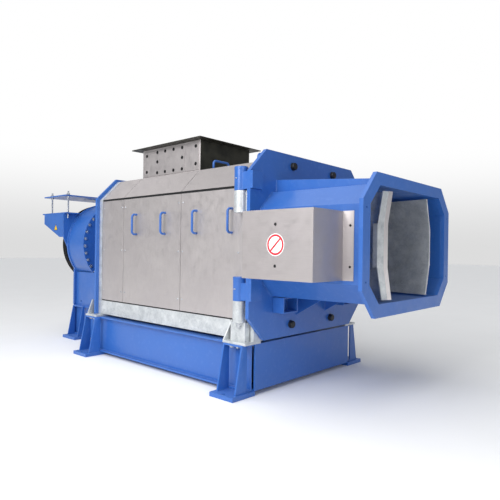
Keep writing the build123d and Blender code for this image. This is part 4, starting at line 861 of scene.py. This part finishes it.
def guard_signs():
    """Plain round sign: white film with a red ring and bar, and no symbol."""
    ground, outer, inner = 0.102, 0.094, 0.076
    bar_end, bar_side, diagonal = 0.079, 0.008, 0.7071
    front_lip, body = 0.11, "discharge_housing"
    for lo, hi in islands("cylinder_guards"):
        side, label, face = (-1, "left", lo.y) if lo.y + hi.y < 0 else (1, "right", hi.y)
        x = (lo.x + hi.x - front_lip) / 2
        z = (lo.z + hi.z) / 2
        disc = round_points(x, z, ground)
        flat_shape(label + "_sign_ground", disc, face, side, WHITE_FILM, body)
        y = face + side * 0.5 * MM
        ring, hole = round_points(x, z, outer), round_points(x, z, inner)
        flat_shape(label + "_sign_ring", ring, y, side, RED_FILM, body, hole)
        bar = []
        for a, b in ((-1, -1), (1, -1), (1, 1), (-1, 1)):
            along, across = a * bar_end, b * bar_side
            bar.append((x + (along - across) * diagonal, z + (along + across) * diagonal))
        flat_shape(label + "_sign_bar", bar, y, side, RED_FILM, body, thick_mm=0.7)


def console_signs():
    """Plain yellow triangle with a dark edge on each console side."""
    lo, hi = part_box("drive_console")
    x, z = lo.x + 0.44, hi.z - 0.245
    corner_angles = [math.radians(t) for t in (90, 210, 330)]
    for side, label, face in ((-1, "left", lo.y), (1, "right", hi.y)):
        for size, material, kind, y in (
            (0.072, CAP_BLACK, "edge", face),
            (0.056, YELLOW_FILM, "field", face + side * 0.5 * MM),
        ):
            corners = [(x + size * math.cos(a), z + size * math.sin(a)) for a in corner_angles]
            flat_shape(f"{label}_triangle_{kind}", corners, y, side, material, "press_base")


# ---- studio
def hang(light, place, towards):
    """Put a light in the studio, facing along a direction."""
    lamp = bpy.data.objects.new(light.name, light)
    lamp.location = place
    lamp.rotation_euler = Vector(towards).to_track_quat("-Z", "Y").to_euler()
    bpy.context.scene.collection.objects.link(lamp)


def studio():
    bm = bmesh.new()
    bmesh.ops.create_grid(bm, x_segments=1, y_segments=1, size=60)
    floor = from_bmesh("studio_floor", bm)
    floor.data.materials.append(FLOOR_PAINT)

    world = bpy.data.worlds.new("studio")
    bpy.context.scene.world = world
    world.use_nodes = True
    tree = world.node_tree
    wall = tree.nodes["Background"]
    wall.inputs["Color"].default_value = linear("FFFFFF")
    # The white wall curves into the floor, so it is a little dimmer near the ground.
    direction = add(tree, "ShaderNodeTexCoord").outputs["Generated"]
    height = add(tree, "ShaderNodeSeparateXYZ", {0: direction}).outputs["Z"]
    limits = {VALUE: height, FROM_MAX: 0.2, TO_MIN: 0.72, TO_MAX: 1.0}
    glow = add(tree, "ShaderNodeMapRange", limits, interpolation_type="SMOOTHSTEP")
    tree.links.new(glow.outputs[0], wall.inputs["Strength"])
    # The walls are seen behind the machine, and light it less than the softboxes do.
    room = add(tree, "ShaderNodeBackground", {"Color": linear("EEF2F8"), "Strength": 0.31})
    seen = add(tree, "ShaderNodeLightPath").outputs["Is Camera Ray"]
    both = add(tree, "ShaderNodeMixShader", {0: seen, 1: room, 2: wall})
    tree.links.new(both.outputs[0], tree.nodes["World Output"].inputs["Surface"])

    middle = Vector((0, 0, 1.3))
    for name, place, size, power in (
        ("key_softbox", (2.2, -9.0, 5.4), 4.5, 560),
        ("front_softbox", (9.0, -4.0, 3.4), 3.0, 130),
    ):
        light = bpy.data.lights.new(name, "AREA")
        light.size = size
        light.energy = power
        hang(light, place, middle - Vector(place))
    # A ceiling of diffusing cloth over the whole studio, which keeps the floor evenly pale.
    ceiling = bpy.data.lights.new("ceiling_light", "SUN")
    ceiling.energy = 1.7
    ceiling.angle = math.radians(80)
    hang(ceiling, (0, 0, 0), (0.25, 0.55, -1))
    bpy.context.scene.view_settings.view_transform = "Standard"


def camera():
    """Eye-height view of the left side and the discharge end."""
    eye = (5.3737, -4.7479, 1.533)
    heading, tilt, roll = 0.7355, -0.0006, 0.0144
    level = Vector((math.cos(heading), math.sin(heading), 0))
    ahead = Vector((-math.sin(heading), math.cos(heading), 0)) * math.cos(tilt)
    ahead.z = math.sin(tilt)
    above = level.cross(ahead)
    right = level * math.cos(roll) + above * math.sin(roll)
    up = above * math.cos(roll) - level * math.sin(roll)
    data = bpy.data.cameras.new("camera")
    data.lens = 34.83
    data.sensor_width = 36
    data.clip_end = 200
    made = bpy.data.objects.new("camera", data)
    turn = Matrix((right, up, -ahead)).transposed()
    made.matrix_world = Matrix.Translation(eye) @ turn.to_4x4()
    bpy.context.scene.collection.objects.link(made)
    bpy.context.scene.camera = made


inner_nodes()
sheet_metal()
painted_steel()
galvanised_pieces()
bare_metal()
cover_screws()
chute_bolts()
guard_screws()
closing_caps()
gear_unit_details()
foot_bolts()
guard_screw_nuts()
threaded_rods()
hinge_caps()
grease_nipples()
jaw_edge_strips()
housing_welds()
base_welds()
guard_signs()
console_signs()
for pattern in PATTERNS:
    bpy.data.objects.remove(pattern)
studio()
camera()
